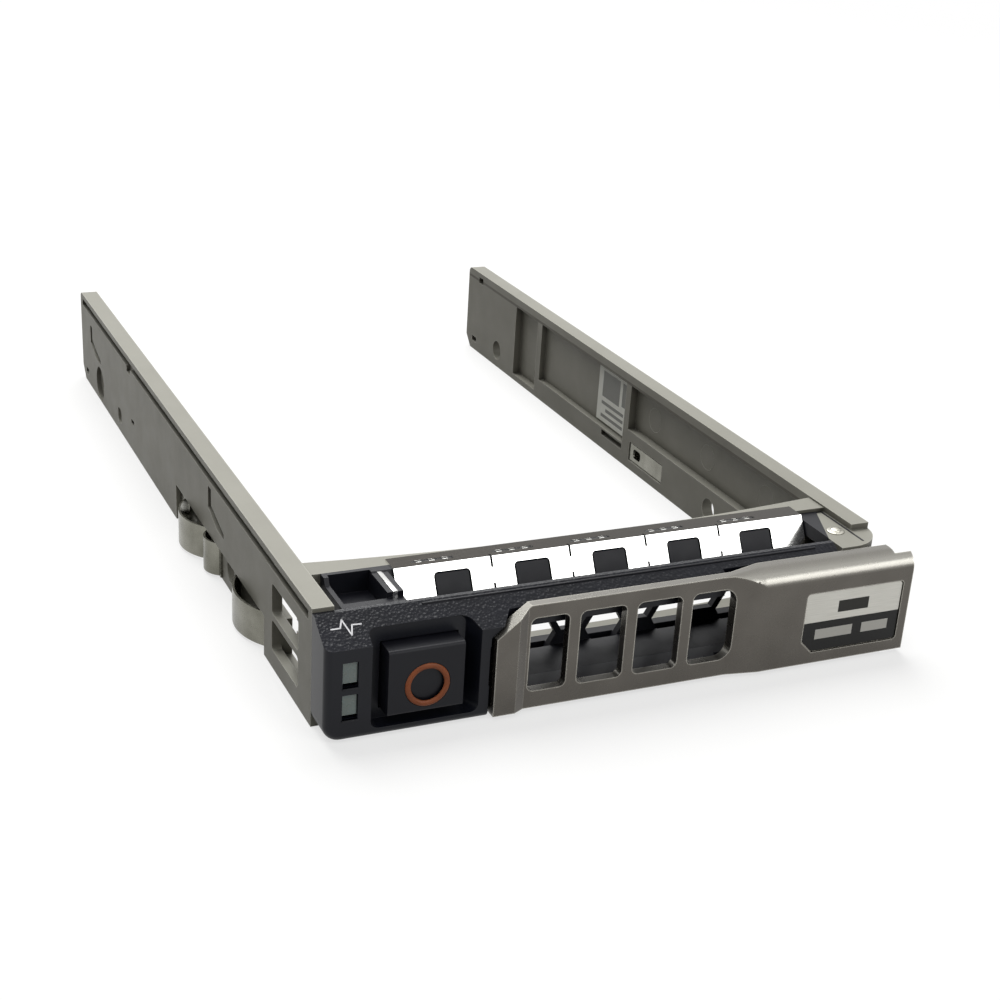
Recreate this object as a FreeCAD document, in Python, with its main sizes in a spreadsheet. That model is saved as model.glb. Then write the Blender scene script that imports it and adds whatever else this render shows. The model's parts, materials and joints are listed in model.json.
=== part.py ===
"""Hot swap caddy for a small-form-factor disk drive.

A cast U frame carries the drive between two rails.  Its crossbar holds a black
vented core with sprung grounding fingers, and a black bezel in front of it.  A
grille handle swings on a pin at the right and is let go by a push button, whose
wedge slides a small latch aside.  All lengths are millimetres.  Every piece is
drawn with y = 0 at the front end of the left rail, then moved back so that the
origin is at the middle of the whole caddy's base.
"""
import FreeCAD, Part
import math
import os
from types import SimpleNamespace

import Sketcher
from FreeCAD import Vector

SIZES = {
    # frame
    "drive_width": 69.85,
    "drive_side_gap": 0.175,
    "rail_thickness": 2.6,
    "rail_length": 127.0,
    "rail_height": 15.0,
    "flange_thickness": 0.8,
    "groove_height": 1.1,
    "groove_depth": 0.6,
    "groove_start": 1.5,
    "groove_stop": 1.6,
    "rail_end_chamfer": 2.0,
    "crossbar_front": 9.0,
    "crossbar_depth": 1.3,
    "crossbar_bow": 2.1,
    "crossbar_rim": 2.2,
    "opening_left": 12.2,
    "opening_right": 9.2,
    "opening_corner": 1.0,
    "strip_drop": 0.25,
    # how far a cut runs past a face, and how far a pad sinks into its neighbour
    "past": 1.0,
    "sink": 0.5,
    # pockets in the rails' inner faces
    "pocket_depth": 1.3,
    "rear_pad_start": 105.5,
    "narrow_pocket_start": 96.5,
    "long_pocket_end": 94.8,
    "long_pocket_start": 63.5,
    "long_pocket_base": 3.4,
    "deep_pocket_end": 62.0,
    "deep_pocket_start": 13.4,
    "deep_pocket_base": 6.2,
    "narrow_pocket_base": 1.0,
    "pocket_roof": 0.3,
    "long_pocket_share": 0.75,
    # small holes and recesses in the rails
    "recess_depth": 0.9,
    "slot_start": 63.6,
    "slot_end": 70.6,
    "slot_base": 2.2,
    "slot_height": 0.9,
    "slot_depth": 0.8,
    "tip_hole_inset": 4.6,
    "tip_hole_length": 1.9,
    "tip_hole_base": 1.5,
    "tip_hole_height": 0.9,
    "oval_start": 96.9,
    "oval_length": 2.4,
    "oval_base": 1.5,
    "dash_start": 87.8,
    "dash_length": 1.8,
    "dash_base": 4.5,
    "dash_height": 0.7,
    "dimple_start": 97.0,
    "dimple_base": 5.6,
    "dimple_size": 1.2,
    "notch_start": 89.6,
    "notch_length": 2.4,
    "notch_stem": 0.9,
    "rear_hook_inset": 7.4,
    "rear_hook_drop": 1.9,
    "front_hook_start": 44.0,
    "front_hook_drop": 0.9,
    "hook_recess_width": 7.6,
    "hook_recess_height": 4.6,
    "hook_recess_arm": 1.5,
    # drive screws
    "screw_pitch": 76.6,
    "screw_rear_inset": 14.1,
    "screw_height": 3.0,
    "screw_hole_radius": 1.7,
    "screw_sink_radius": 2.9,
    "screw_sink_depth": 0.7,
    # leaf springs on the rails' outer faces
    "leaf_thickness": 0.3,
    "leaf_base": 0.3,
    "leaf_width": 4.7,
    "leaf_seat_depth": 0.9,
    "leaf_bulge": 1.9,
    "rear_leaf_start": 40.2,
    "rear_leaf_end": 61.5,
    "rear_leaf_crest": 57.4,
    "rear_leaf_waist": 46.0,
    "front_leaf_start": 18.4,
    "front_leaf_end": 32.6,
    "leaf_tab": 1.5,
    "leaf_slack": 0.2,
    "small_lobe_share": 0.55,
    "front_lobe_share": 0.85,
    "leaf_seat_gap": 0.3,
    "waist_gap": 0.4,
    "tab_window_start": 50.4,
    "tab_window_inset": 0.5,
    "tab_window_base": 1.4,
    "tab_window_height": 3.1,
    "tab_sink": 0.15,
    "tab_gap": 0.2,
    "tab_hole_length": 2.3,
    "tab_hole_height": 1.5,
    # light pipe window in the left rail
    "window_start": 5.0,
    "window_end": 15.2,
    "window_base": 2.4,
    "window_drop": 3.7,
    "window_bar": 0.8,
    "window_corner": 0.6,
    "skin": 1.2,
    # hinge
    "pin_inset": 4.7,
    "pin_y": 3.0,
    "pin_radius": 0.8,
    "pin_head_radius": 1.15,
    "pin_head_height": 0.45,
    "hinge_clearance": 0.05,
    "swing_gap": 0.3,
    "ear_width": 6.8,
    "ear_thickness": 1.7,
    "ear_drop": 0.8,
    "flange_front": 2.7,
    "ear_rear": 0.5,
    "rail_face_inset": 1.4,
    # bezel
    "bezel_depth": 4.6,
    "bezel_base": 0.3,
    "bezel_drop": 0.5,
    "brow_drop": 3.1,
    "brow_start": 0.4,
    "bezel_back": 0.2,
    "bezel_edge_radius": 0.9,
    "bezel_corner": 2.0,
    "bezel_right_inset": 7.3,
    "bay_floor": 2.7,
    "bay_gap": 0.4,
    "button_bay_margin": 1.8,
    "button_bay_width": 12.0,
    "button_bay_base": 1.4,
    "button_bay_drop": 2.0,
    "button_bay_floor": 2.4,
    "button_bay_flank": 1.2,
    "button_bay_corner": 1.0,
    "hook_room": 0.5,
    "vent_right_inset": 9.7,
    "vent_base": 2.2,
    "vent_drop": 4.5,
    "vent_corner": 0.8,
    # handle
    "handle_reach": 5.2,
    "handle_overhang": 1.9,
    "handle_base": 0.6,
    "handle_drop": 1.0,
    "handle_start": 20.3,
    "handle_wall": 1.2,
    "grille_recess": 0.7,
    "pull_width": 4.1,
    "grille_right_inset": 23.9,
    "ramp_left": 1.3,
    "ramp_right": 4.4,
    "lip_thickness": 1.2,
    "shoulder_radius": 2.4,
    "pull_corner_width": 4.4,
    "pull_corner_height": 3.4,
    "window_low": 2.8,
    "slot_drop": 1.7,
    "slot_web": 1.45,
    "slot_margin": 0.4,
    "slot_overrun": 0.55,
    "first_slot_less": 1.1,
    "slot_corner": 0.8,
    "last_slot_corner": 1.8,
    "knuckle_radius": 1.75,
    "ear_gap": 0.15,
    "knuckle_drop": 6.6,
    "shell_inset": 0.5,
    "shoulder_lead": 1.6,
    "label_edge": 1.2,
    "label_width": 14.2,
    "label_base": 2.1,
    "label_drop": 4.7,
    "label_corner": 1.6,
    "label_rounding": 0.5,
    "label_gap": 0.1,
    "label_recess": 0.3,
    "label_thickness": 0.15,
    "hook_offset": 1.0,
    "hook_width": 1.5,
    "hook_reach": 2.6,
    "hook_base": 5.0,
    "hook_top": 9.0,
    "barb": 1.0,
    # button and latch
    "button_start": 7.3,
    "button_width": 9.2,
    "button_base": 2.8,
    "button_drop": 4.0,
    "button_edge": 0.4,
    "button_face": 5.0,
    "button_back": 2.0,
    "button_gap": 0.15,
    "button_travel": 1.5,
    "button_flange": 0.6,
    "hollow_offset": 0.55,
    "hollow_width": 2.9,
    "hollow_depth": 3.2,
    "ring_offset": 4.75,
    "ring_z": 6.2,
    "ring_radius": 2.75,
    "ring_width": 0.8,
    "ring_gap": 0.02,
    "ring_depth": 0.5,
    "ring_proud": 0.15,
    "dimple_depth": 0.45,
    "wedge_offset": 5.8,
    "wedge_inset": 0.4,
    "wedge_width": 2.0,
    "wedge_reach": 0.6,
    "wedge_gap": 0.14,
    "latch_base": 4.6,
    "latch_top": 9.4,
    "latch_overlap": 0.4,
    "latch_lead": 0.2,
    "latch_front": 0.65,
    "latch_rear": 7.4,
    "latch_arm": 1.45,
    "latch_relief": 0.15,
    "slide_gap": 0.1,
    # core
    "core_start": 3.9,
    "core_base": 0.5,
    "roof_drop": 2.9,
    "shelf_drop": 3.8,
    "shelf_front": 4.6,
    "core_crest": 7.8,
    "core_slope": 2.0,
    "core_right_gap": 0.3,
    "end_block_gap": 0.6,
    "end_block_drop": 1.1,
    "post_width": 2.0,
    "post_front": 2.4,
    "post_rise": 0.7,
    "mesh_front": 6.4,
    "mesh_thickness": 1.0,
    "hex_across": 4.6,
    "hex_web": 0.8,
    "well_margin": 1.0,
    "well_gap": 0.7,
    "well_slack": 0.25,
    "latch_spring_room": 2.4,
    "channel_margin": 2.2,
    # springs
    "wire_radius": 0.2,
    "hinge_coil_radius": 1.35,
    "hinge_coil_turns": 4.0,
    "hinge_coil_pitch": 0.55,
    "button_coil_radius": 1.1,
    "button_coil_turns": 7.0,
    "button_coil_depth": 2.8,
    "latch_coil_radius": 1.0,
    "latch_coil_turns": 3.0,
    "spring_slack": 0.05,
    "seat_gap": 0.1,
    # grounding fingers
    "gasket_thickness": 0.2,
    "gasket_left_inset": 12.3,
    "gasket_right_inset": 7.1,
    "gasket_front": 7.4,
    "gasket_lean": 2.1,
    "gasket_drop": 3.5,
    "finger_margin": 2.0,
    "notch_width": 4.7,
    "notch_top": 0.7,
    "notch_corner": 0.5,
    "tab_side_gap": 0.2,
    "tab_thickness": 0.9,
    "slit_width": 0.3,
    "slit_length": 1.0,
    "lower_slit": 0.9,
    "strip_slot_length": 5.4,
    "strip_slot_offset": 1.9,
    "strip_slot_rear": 0.25,
    "strip_slot_width": 0.5,
    # light pipes
    "pipe_start": 2.1,
    "pipe_width": 1.75,
    "pipe_height": 2.6,
    "pipe_sink": 0.3,
    "pipe_low": 3.55,
    "pipe_high": 7.6,
    "pipe_slot": 0.5,
    "pipe_rear": 12.0,
    "pipe_gap": 0.05,
    # paper label on the right rail
    "sticker_start": 63.9,
    "sticker_width": 10.4,
    "sticker_base": 3.8,
    "sticker_drop": 2.0,
    "sticker_thickness": 0.12,
}


class Size:
    """A length that carries both its number and its formula on the sheet."""

    def __init__(self, formula, value):
        self.formula = formula
        self.value = value

    def joined(self, sign, other, value):
        return Size(f"({self.formula} {sign} {as_size(other).formula})", value)

    def __add__(self, other):
        return self.joined("+", other, self.value + as_size(other).value)

    def __sub__(self, other):
        return self.joined("-", other, self.value - as_size(other).value)

    def __mul__(self, other):
        return self.joined("*", other, self.value * as_size(other).value)

    def __truediv__(self, other):
        return self.joined("/", other, self.value / as_size(other).value)

    def __radd__(self, other):
        return as_size(other) + self

    def __rsub__(self, other):
        return as_size(other) - self

    def __rmul__(self, other):
        return as_size(other) * self

    def __neg__(self):
        return 0 - self


def as_size(length):
    if isinstance(length, Size):
        return length
    return Size(f"({length})", float(length))


doc = FreeCAD.newDocument("DriveCaddy")
sheet = doc.addObject("Spreadsheet::Sheet", "Sizes")
for row, (name, value) in enumerate(SIZES.items(), start=1):
    sheet.set(f"A{row}", name)
    sheet.set(f"B{row}", str(value))
    sheet.setAlias(f"B{row}", name)
doc.recompute()
s = SimpleNamespace(**{name: Size(f"Sizes.{name}", value) for name, value in SIZES.items()})

# Lengths that several pieces share.
inner = s.drive_width / 2 + s.drive_side_gap
outer = inner + s.rail_thickness
back_shift = (s.handle_reach - s.rail_length) / 2
crossbar_rear = s.crossbar_front + s.crossbar_depth
groove_top = s.rail_height - s.flange_thickness
groove_base = groove_top - s.groove_height
pocket_top = groove_base + s.pocket_roof
strip_top = s.rail_height - s.strip_drop
screw_rear = s.rail_length - s.screw_rear_inset
screw_front = screw_rear - s.screw_pitch

# Places along the caddy's width, each from the outer face that it keeps to.
pin_x = outer - s.pin_inset
button_left = outer - s.button_start
handle_left = outer - s.handle_start
grille_left = handle_left - s.pull_width
grille_right = outer - s.grille_right_inset
hook_left = handle_left - s.hook_offset
vent_left = grille_left - s.seat_gap
vent_right = outer - s.vent_right_inset
bezel_right = outer - s.bezel_right_inset
core_left = outer - s.core_start
pipe_left = outer - s.pipe_start
ring_x = button_left - s.ring_offset
hollow_left = button_left - s.hollow_offset
wedge_left = button_left - s.wedge_offset
latch_tail = wedge_left - s.latch_overlap
latch_tip = hook_left + s.barb + s.latch_relief
well_left = button_left + s.well_margin
well_right = well_left - s.button_width - s.well_margin * 2
channel_left = latch_tail + s.latch_spring_room
channel_right = hook_left - s.channel_margin
label_right = outer + s.handle_overhang - s.label_edge
label_left = label_right - s.label_width
gasket_left = s.gasket_left_inset - outer
gasket_right = outer - s.gasket_right_inset
gasket_middle = (gasket_left + gasket_right) / 2
finger_pitch = (gasket_right - gasket_left - s.finger_margin * 2) / 5

# Places along the depth.
ear_radius = outer - pin_x
handle_back = s.pin_y - ear_radius - s.swing_gap
grille_face = s.grille_recess - s.handle_reach
pressed_back = s.button_back + s.button_travel
well_rear = pressed_back + s.well_gap

# Heights, each from the rails' top where the real piece keeps to it.
ear_top = s.rail_height - s.ear_drop
ear_base_top = s.core_base + s.ear_thickness
bezel_top = s.rail_height - s.bezel_drop
bezel_brow = s.rail_height - s.brow_drop
handle_top = s.rail_height - s.handle_drop
knuckle_top = s.rail_height - s.knuckle_drop
button_top = s.rail_height - s.button_drop
vent_top = s.rail_height - s.vent_drop
core_roof = s.rail_height - s.roof_drop
spring_centre = (s.hollow_width / 2 - hollow_left, (s.latch_base + s.latch_top) / 2)
QUARTER_SAG = 1 - math.sqrt(0.5)

COIL_CHORDS = 12
PLANE_ROLES = {"XY": "XY_Plane", "XZ": "XZ_Plane", "YZ": "YZ_Plane"}
pieces = {}


# ---------------------------------------------------------------- drawing aids
def new_body(label):
    body = doc.addObject("PartDesign::Body", label)
    body.Label = label
    body.setExpression("Placement.Base.y", back_shift.formula)
    pieces[label] = body
    return body


def new_sketch(body, name, plane, height):
    """A sketch on one of the body's own planes, lifted to a height along X, Y or Z."""
    sketch = body.newObject("Sketcher::SketchObject", name)
    role = PLANE_ROLES[plane]
    base = [item for item in body.Origin.OriginFeatures if item.Role == role][0]
    sketch.AttachmentSupport = [(base, "")]
    sketch.MapMode = "FlatFace"
    lift = -as_size(height) if plane == "XZ" else as_size(height)
    sketch.setExpression("AttachmentOffset.Base.z", lift.formula)
    return sketch


def pin_down(edge, end, x, y):
    """Ties for one end of an edge to a place given from the sketch's origin."""
    return [(Sketcher.Constraint(kind, -1, 1, edge, end, length.value), length)
            for kind, length in (("DistanceX", x), ("DistanceY", y))]


def draw(sketch, edges, ties):
    """Add edges and their ties together, each tie with its formula."""
    sketch.addGeometry(edges, False)
    places = sketch.addConstraint([constraint for constraint, length in ties])
    for index, (constraint, length) in zip(places, ties):
        sketch.setExpression(f"Constraints[{index}]", length.formula)


def draw_outline(sketch, corners):
    """A closed outline.  A third number at a corner bows the edge that leaves it."""
    corners = [[as_size(number) for number in corner] for corner in corners]
    edges, ties = [], []
    for edge, corner in enumerate(corners):
        end = corners[(edge + 1) % len(corners)]
        first = Vector(corner[0].value, corner[1].value, 0)
        last = Vector(end[0].value, end[1].value, 0)
        starts, finishes = 1, 2
        if len(corner) == 2:
            edges.append(Part.LineSegment(first, last))
        else:
            sag = corner[2]
            along = last - first
            side = Vector(along.y, -along.x, 0).normalize()
            edges.append(Part.Arc(first, (first + last) / 2 + side * sag.value, last))
            if sag.value < 0:
                starts, finishes, sag = 2, 1, -sag
            wide, tall = end[0] - corner[0], end[1] - corner[1]
            radius = ((wide * wide + tall * tall) / 4 + sag * sag) / (sag * 2)
            ties.append((Sketcher.Constraint("Radius", edge, radius.value), radius))
        ties += pin_down(edge, starts, corner[0], corner[1])
        ties += pin_down(edge, finishes, end[0], end[1])
    draw(sketch, edges, ties)


def extrude(body, name, sketch, thickness, cut):
    feature = body.newObject("PartDesign::Pocket" if cut else "PartDesign::Pad", name)
    feature.Profile = sketch
    feature.SideType = "Symmetric"
    feature.setExpression("Length", as_size(thickness).formula)
    sketch.Visibility = False
    return feature


def prism(body, name, plane, corners, low, high, cut=False):
    """Pad or pocket an outline between two heights along the plane's own axis."""
    low, high = as_size(low), as_size(high)
    sketch = new_sketch(body, name + "Outline", plane, (low + high) / 2)
    draw_outline(sketch, corners)
    return extrude(body, name, sketch, high - low, cut)


def block(body, name, x, y, z, cut=False):
    corners = [(x[0], y[0]), (x[1], y[0]), (x[1], y[1]), (x[0], y[1])]
    return prism(body, name, "XY", corners, z[0], z[1], cut)


def rounded(low, high, radius):
    """Corners of a rectangle with rounded corners, anticlockwise from its base."""
    (x0, y0), (x1, y1) = low, high
    sag = radius * QUARTER_SAG
    return [
        (x0 + radius, y0), (x1 - radius, y0, sag),
        (x1, y0 + radius), (x1, y1 - radius, sag),
        (x1 - radius, y1), (x0 + radius, y1, sag),
        (x0, y1 - radius), (x0, y0 + radius, sag),
    ]


def disc(body, name, plane, centre, radius, low, high, cut=False):
    low, high = as_size(low), as_size(high)
    sketch = new_sketch(body, name + "Outline", plane, (low + high) / 2)
    across, up, radius = as_size(centre[0]), as_size(centre[1]), as_size(radius)
    middle = Vector(across.value, up.value, 0)
    ties = pin_down(0, 3, across, up)
    ties.append((Sketcher.Constraint("Radius", 0, radius.value), radius))
    draw(sketch, [Part.Circle(middle, Vector(0, 0, 1), radius.value)], ties)
    return extrude(body, name, sketch, high - low, cut)


def edges_at(feature, axis, spots):
    """Names of the straight edges along an axis that stand at the given spots."""
    across = [index for index in range(3) if index != "XYZ".index(axis)]
    found = []
    for number, edge in enumerate(feature.Shape.Edges, start=1):
        ends = [vertex.Point for vertex in edge.Vertexes]
        if len(ends) != 2 or edge.Curve.TypeId != "Part::GeomLine":
            continue
        for spot in spots:
            misses = [abs(end[index] - value) for end in ends for index, value in zip(across, spot)]
            if max(misses) < 0.01:
                found.append(f"Edge{number}")
    return found


def round_edges(body, name, radius, axis, spots):
    """Fillet the edges of the body's last feature that run along an axis."""
    doc.recompute()
    base = body.Tip
    places = [[as_size(number).value for number in spot] for spot in spots]
    fillet = body.newObject("PartDesign::Fillet", name)
    fillet.Base = (base, edges_at(base, axis, places))
    fillet.setExpression("Radius", radius.formula)
    return fillet


def placed_feature(label, shape):
    """A piece whose shape is made directly, moved back with the others."""
    feature = doc.addObject("Part::Feature", label)
    feature.Label = label
    feature.Shape = shape
    own_y = shape.Placement.Base.y
    feature.setExpression("Placement.Base.y", f"{back_shift.formula} + {own_y:.6f}")
    pieces[label] = feature
    return feature


# ---------------------------------------------------------------------- frame
def frame():
    body = new_body("frame")
    rear = crossbar_rear + s.crossbar_bow
    joined = inner + s.sink
    prism(body, "Crossbar", "XY", [
        (-joined, s.crossbar_front), (joined, s.crossbar_front),
        (joined, rear), (inner, rear, -s.crossbar_bow), (-inner, rear), (-joined, rear),
    ], 0, strip_top)
    for side, end in ((-1, "Left"), (1, "Right")):
        front = s.bezel_back if side < 0 else s.pin_y + s.rail_face_inset
        block(body, end + "Rail", (side * inner, side * outer),
              (front, s.rail_length), (0, s.rail_height))
    rail_inner_faces(body)
    crossbar_vent(body)
    left_front(body)
    hinge_ears(body)
    rail_outer_faces(body)
    rail_holes(body)
    outer_recesses(body)
    screw_holes(body)
    rail_ends(body)


def rail_inner_faces(body):
    """Shallow lightening pockets between raised pads, the same in both rails."""
    shallow = s.pocket_depth * s.long_pocket_share
    pockets = {
        "NarrowPocket": (s.narrow_pocket_start, s.rear_pad_start,
                         s.narrow_pocket_base, pocket_top, s.pocket_depth),
        "LongPocket": (s.long_pocket_start, s.long_pocket_end,
                       s.long_pocket_base, pocket_top, shallow),
        "DeepPocket": (s.deep_pocket_start, s.deep_pocket_end,
                       s.deep_pocket_base, pocket_top, s.pocket_depth),
        "InnerSlot": (s.slot_start, s.slot_end,
                      s.slot_base, s.slot_base + s.slot_height, s.slot_depth),
        "Dimple": (s.dimple_start, s.dimple_start + s.dimple_size, s.dimple_base,
                   s.dimple_base + s.dimple_size, s.pocket_depth + s.recess_depth),
    }
    for side, end in ((-1, "Left"), (1, "Right")):
        for name, (start, stop, base, roof, depth) in pockets.items():
            block(body, end + name, (side * (inner - s.past), side * (inner + depth)),
                  (start, stop), (base, roof), cut=True)


def crossbar_vent(body):
    """The crossbar is a rim: air passes through its middle."""
    low = (s.opening_left - outer, s.crossbar_rim)
    high = (outer - s.opening_right, strip_top - s.crossbar_rim)
    prism(body, "CrossbarVent", "XZ", rounded(low, high, s.opening_corner),
          s.crossbar_front - s.past, crossbar_rear + s.crossbar_bow + s.past, cut=True)


def left_front(body):
    """The light pipes' chamber, and the window beside it with a bar across."""
    block(body, "PipeChamber", (s.seat_gap - core_left, s.skin - outer),
          (-s.past, s.window_end), (s.window_base - s.past, groove_base), cut=True)
    top = s.rail_height - s.window_drop
    middle = (s.window_base + top) / 2
    parts = (("Lower", s.window_base, middle - s.window_bar / 2),
             ("Upper", middle + s.window_bar / 2, top))
    for name, base, roof in parts:
        prism(body, name + "PipeWindow", "YZ",
              rounded((s.window_start, base), (s.window_end, roof), s.window_corner),
              -outer - s.past, -inner, cut=True)


def hinge_ears(body):
    """Two plates round the hinge pin, their front edge an arc about the pin."""
    left = outer - s.ear_width
    rear = s.crossbar_front + s.ear_rear
    outline = [
        (left, rear), (left, s.pin_y - ear_radius),
        (pin_x, s.pin_y - ear_radius, ear_radius * QUARTER_SAG),
        (outer, s.pin_y), (outer, rear),
    ]
    prism(body, "TopEar", "XY", outline, ear_top - s.ear_thickness, ear_top)
    prism(body, "BottomEar", "XY", outline, s.core_base, ear_base_top)
    block(body, "FlangeNose", (inner, outer), (s.flange_front, rear),
          (ear_top - s.seat_gap, s.rail_height))
    disc(body, "PinHoles", "XY", (pin_x, s.pin_y), s.pin_radius,
         -s.past, s.rail_height + s.past, cut=True)


def rail_outer_faces(body):
    """A groove under each flange, and sunk seats for the leaf springs."""
    for side, end in ((-1, "Left"), (1, "Right")):
        front = s.groove_start if side < 0 else s.window_end
        beyond = side * (outer + s.past)
        block(body, end + "Groove", (side * (outer - s.groove_depth), beyond),
              (front, s.rail_length - s.groove_stop), (groove_base, groove_top), cut=True)
        block(body, end + "GrooveNotch", (side * (outer - s.groove_depth), beyond),
              (s.notch_start, s.notch_start + s.notch_length),
              (groove_base - s.notch_stem, groove_top), cut=True)
        block(body, end + "LeafSeat", (side * (outer - s.leaf_seat_depth), beyond),
              (s.front_leaf_start, s.rear_leaf_end),
              (-s.past, s.leaf_base + s.leaf_width + s.leaf_seat_gap), cut=True)
        block(body, end + "TabWindow", (side * (inner - s.past), beyond),
              (s.tab_window_start, s.rear_leaf_end - s.tab_window_inset),
              (s.tab_window_base, s.tab_window_base + s.tab_window_height), cut=True)


def rail_holes(body):
    """Small slots right through each rail."""
    tip = s.rail_length - s.tip_hole_inset
    for side, end in ((-1, "Left"), (1, "Right")):
        through = (side * (inner - s.past), side * (outer + s.past))
        block(body, end + "LowerTipHole", through, (tip, tip + s.tip_hole_length),
              (s.tip_hole_base, s.tip_hole_base + s.tip_hole_height), cut=True)
        block(body, end + "UpperTipHole", through,
              (tip - s.tip_hole_length, tip - s.seat_gap), (groove_base, groove_top), cut=True)
        faces = sorted(through, key=lambda size: size.value)
        ring = rounded((s.oval_start, s.oval_base),
                       (s.oval_start + s.oval_length, s.oval_base + s.oval_length),
                       s.oval_length / 3)
        prism(body, end + "OvalHole", "YZ", ring, faces[0], faces[1], cut=True)


def outer_recesses(body):
    """Two hooked recesses in each rail's outer face, where the mould's inserts met."""
    rear = s.rail_length - s.rear_hook_inset
    front = s.front_hook_start
    wide, tall, arm = s.hook_recess_width, s.hook_recess_height, s.hook_recess_arm
    for side, end in ((-1, "Left"), (1, "Right")):
        faces = sorted([side * (outer - s.recess_depth), side * (outer + s.past)],
                       key=lambda size: size.value)
        for name, start, top in (("Rear", rear, groove_base - s.rear_hook_drop),
                                 ("Front", front, groove_base - s.front_hook_drop)):
            prism(body, f"{end}{name}Hook", "YZ", [
                (start, top), (start - arm, top), (start - arm, top - tall / 2),
                (start - wide, top - tall + arm / 2), (start - wide, top - tall),
                (start - wide / 2, top - tall), (start, top - tall / 2 - arm / 2),
            ], faces[0], faces[1], cut=True)
        block(body, end + "Dash", tuple(faces),
              (s.dash_start, s.dash_start + s.dash_length),
              (s.dash_base, s.dash_base + s.dash_height), cut=True)


def screw_holes(body):
    """Holes for the four drive screws, the rear ones countersunk."""
    for side, end in ((-1, "Left"), (1, "Right")):
        faces = sorted([side * (inner - s.past), side * (outer + s.past)],
                       key=lambda size: size.value)
        for spot, place in (("Rear", screw_rear), ("Front", screw_front)):
            disc(body, f"{end}{spot}ScrewHole", "YZ", (place, s.screw_height),
                 s.screw_hole_radius, faces[0], faces[1], cut=True)
        sink = sorted([side * (outer - s.screw_sink_depth), side * (outer + s.past)],
                      key=lambda size: size.value)
        disc(body, end + "RearSink", "YZ", (screw_rear, s.screw_height),
             s.screw_sink_radius, sink[0], sink[1], cut=True)


def rail_ends(body):
    """The rails' tips are chamfered below, to lead the caddy into its slot."""
    tip, chamfer, past = s.rail_length, s.rail_end_chamfer, s.past
    prism(body, "LowerTips", "YZ", [
        (tip - chamfer, -past), (tip - chamfer, 0), (tip, chamfer),
        (tip + past, chamfer), (tip + past, -past),
    ], -outer - past, outer + past, cut=True)
    round_edges(body, "UpperTips", chamfer / 2, "X", [(tip, s.rail_height)])


# ---------------------------------------------------------------------- bezel
def bezel():
    body = new_body("bezel")
    front, corner, past = -s.bezel_depth, s.bezel_corner, s.past
    prism(body, "Section", "YZ", [
        (s.bezel_back, s.bezel_base), (s.bezel_back, bezel_top), (-s.brow_start, bezel_top),
        (front, bezel_brow), (front, s.bezel_base),
    ], -outer, bezel_right)
    prism(body, "LowerCorner", "XZ", [
        (-outer - past, s.bezel_base - past), (corner - outer, s.bezel_base - past),
        (corner - outer, s.bezel_base, -corner * QUARTER_SAG),
        (-outer, s.bezel_base + corner), (-outer - past, s.bezel_base + corner),
    ], front - past, s.bezel_back + past, cut=True)
    round_edges(body, "FrontEdge", s.bezel_edge_radius, "Z", [(-outer, front)])
    handle_bay(body)
    button_bay(body)
    for level, base in (("Upper", s.pipe_high), ("Lower", s.pipe_low)):
        gap = s.pipe_gap
        block(body, level + "Window", (-pipe_left - gap, s.pipe_width - pipe_left + gap),
              (front - past, s.bezel_back + past),
              (base - s.pipe_slot, base + s.pipe_height + gap), cut=True)


def handle_bay(body):
    """Room for the handle: it follows the handle's outline with an even gap."""
    left = -handle_left - s.bay_gap
    above, below = s.rail_height + s.past, -s.past
    ahead = -s.handle_reach - s.past
    prism(body, "HandleBay", "XZ", [
        (left, below), (left, handle_top - s.pull_corner_height),
        (left + s.pull_corner_width, handle_top + s.bay_gap),
        (left + s.pull_corner_width, above), (bezel_right + s.past, above),
        (bezel_right + s.past, below),
    ], ahead, -s.bay_floor, cut=True)
    block(body, "ShoulderBay", (grille_right, bezel_right + s.past),
          (ahead, handle_back + s.swing_gap), (below, above), cut=True)
    prism(body, "AirWay", "XZ",
          rounded((-vent_left, s.vent_base), (vent_right, vent_top), s.vent_corner),
          -s.handle_reach, s.bezel_back + s.past, cut=True)
    room = s.hook_room
    block(body, "HookSlot", (-hook_left - s.barb - room, s.hook_width - hook_left + room),
          (-s.handle_reach, s.bezel_back + s.past),
          (s.hook_base - room, s.hook_top + room), cut=True)


def button_bay(body):
    """A flared bay, and the way through it for the button."""
    left = -button_left - s.button_bay_margin
    right = left + s.button_bay_width
    top = s.rail_height - s.button_bay_drop
    ahead = -s.handle_reach - s.past
    prism(body, "ButtonBay", "XZ",
          rounded((left, s.button_bay_base), (right, top), s.button_bay_corner),
          ahead, -s.button_bay_floor, cut=True)
    flare(body, (left, s.button_bay_base), (right, top))
    gap = s.button_gap
    block(body, "ButtonWay", (-button_left - gap, s.button_width - button_left + gap),
          (-s.handle_reach, s.bezel_back + s.past),
          (s.button_base - gap, button_top + gap), cut=True)


def flare(body, low, high):
    """Lean the bay's right and upper walls back as they near the front."""
    floor = new_sketch(body, "BayFloor", "XZ", -s.button_bay_floor)
    draw_outline(floor, rounded(low, high, s.button_bay_corner))
    mouth = new_sketch(body, "BayMouth", "XZ", -s.bezel_depth - s.seat_gap)
    wider = (high[0] + s.button_bay_flank, high[1] + s.button_bay_flank)
    draw_outline(mouth, rounded(low, wider, s.button_bay_corner))
    loft = body.newObject("PartDesign::SubtractiveLoft", "BayFlare")
    loft.Profile = floor
    loft.Sections = [mouth]
    loft.Ruled = True


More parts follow.
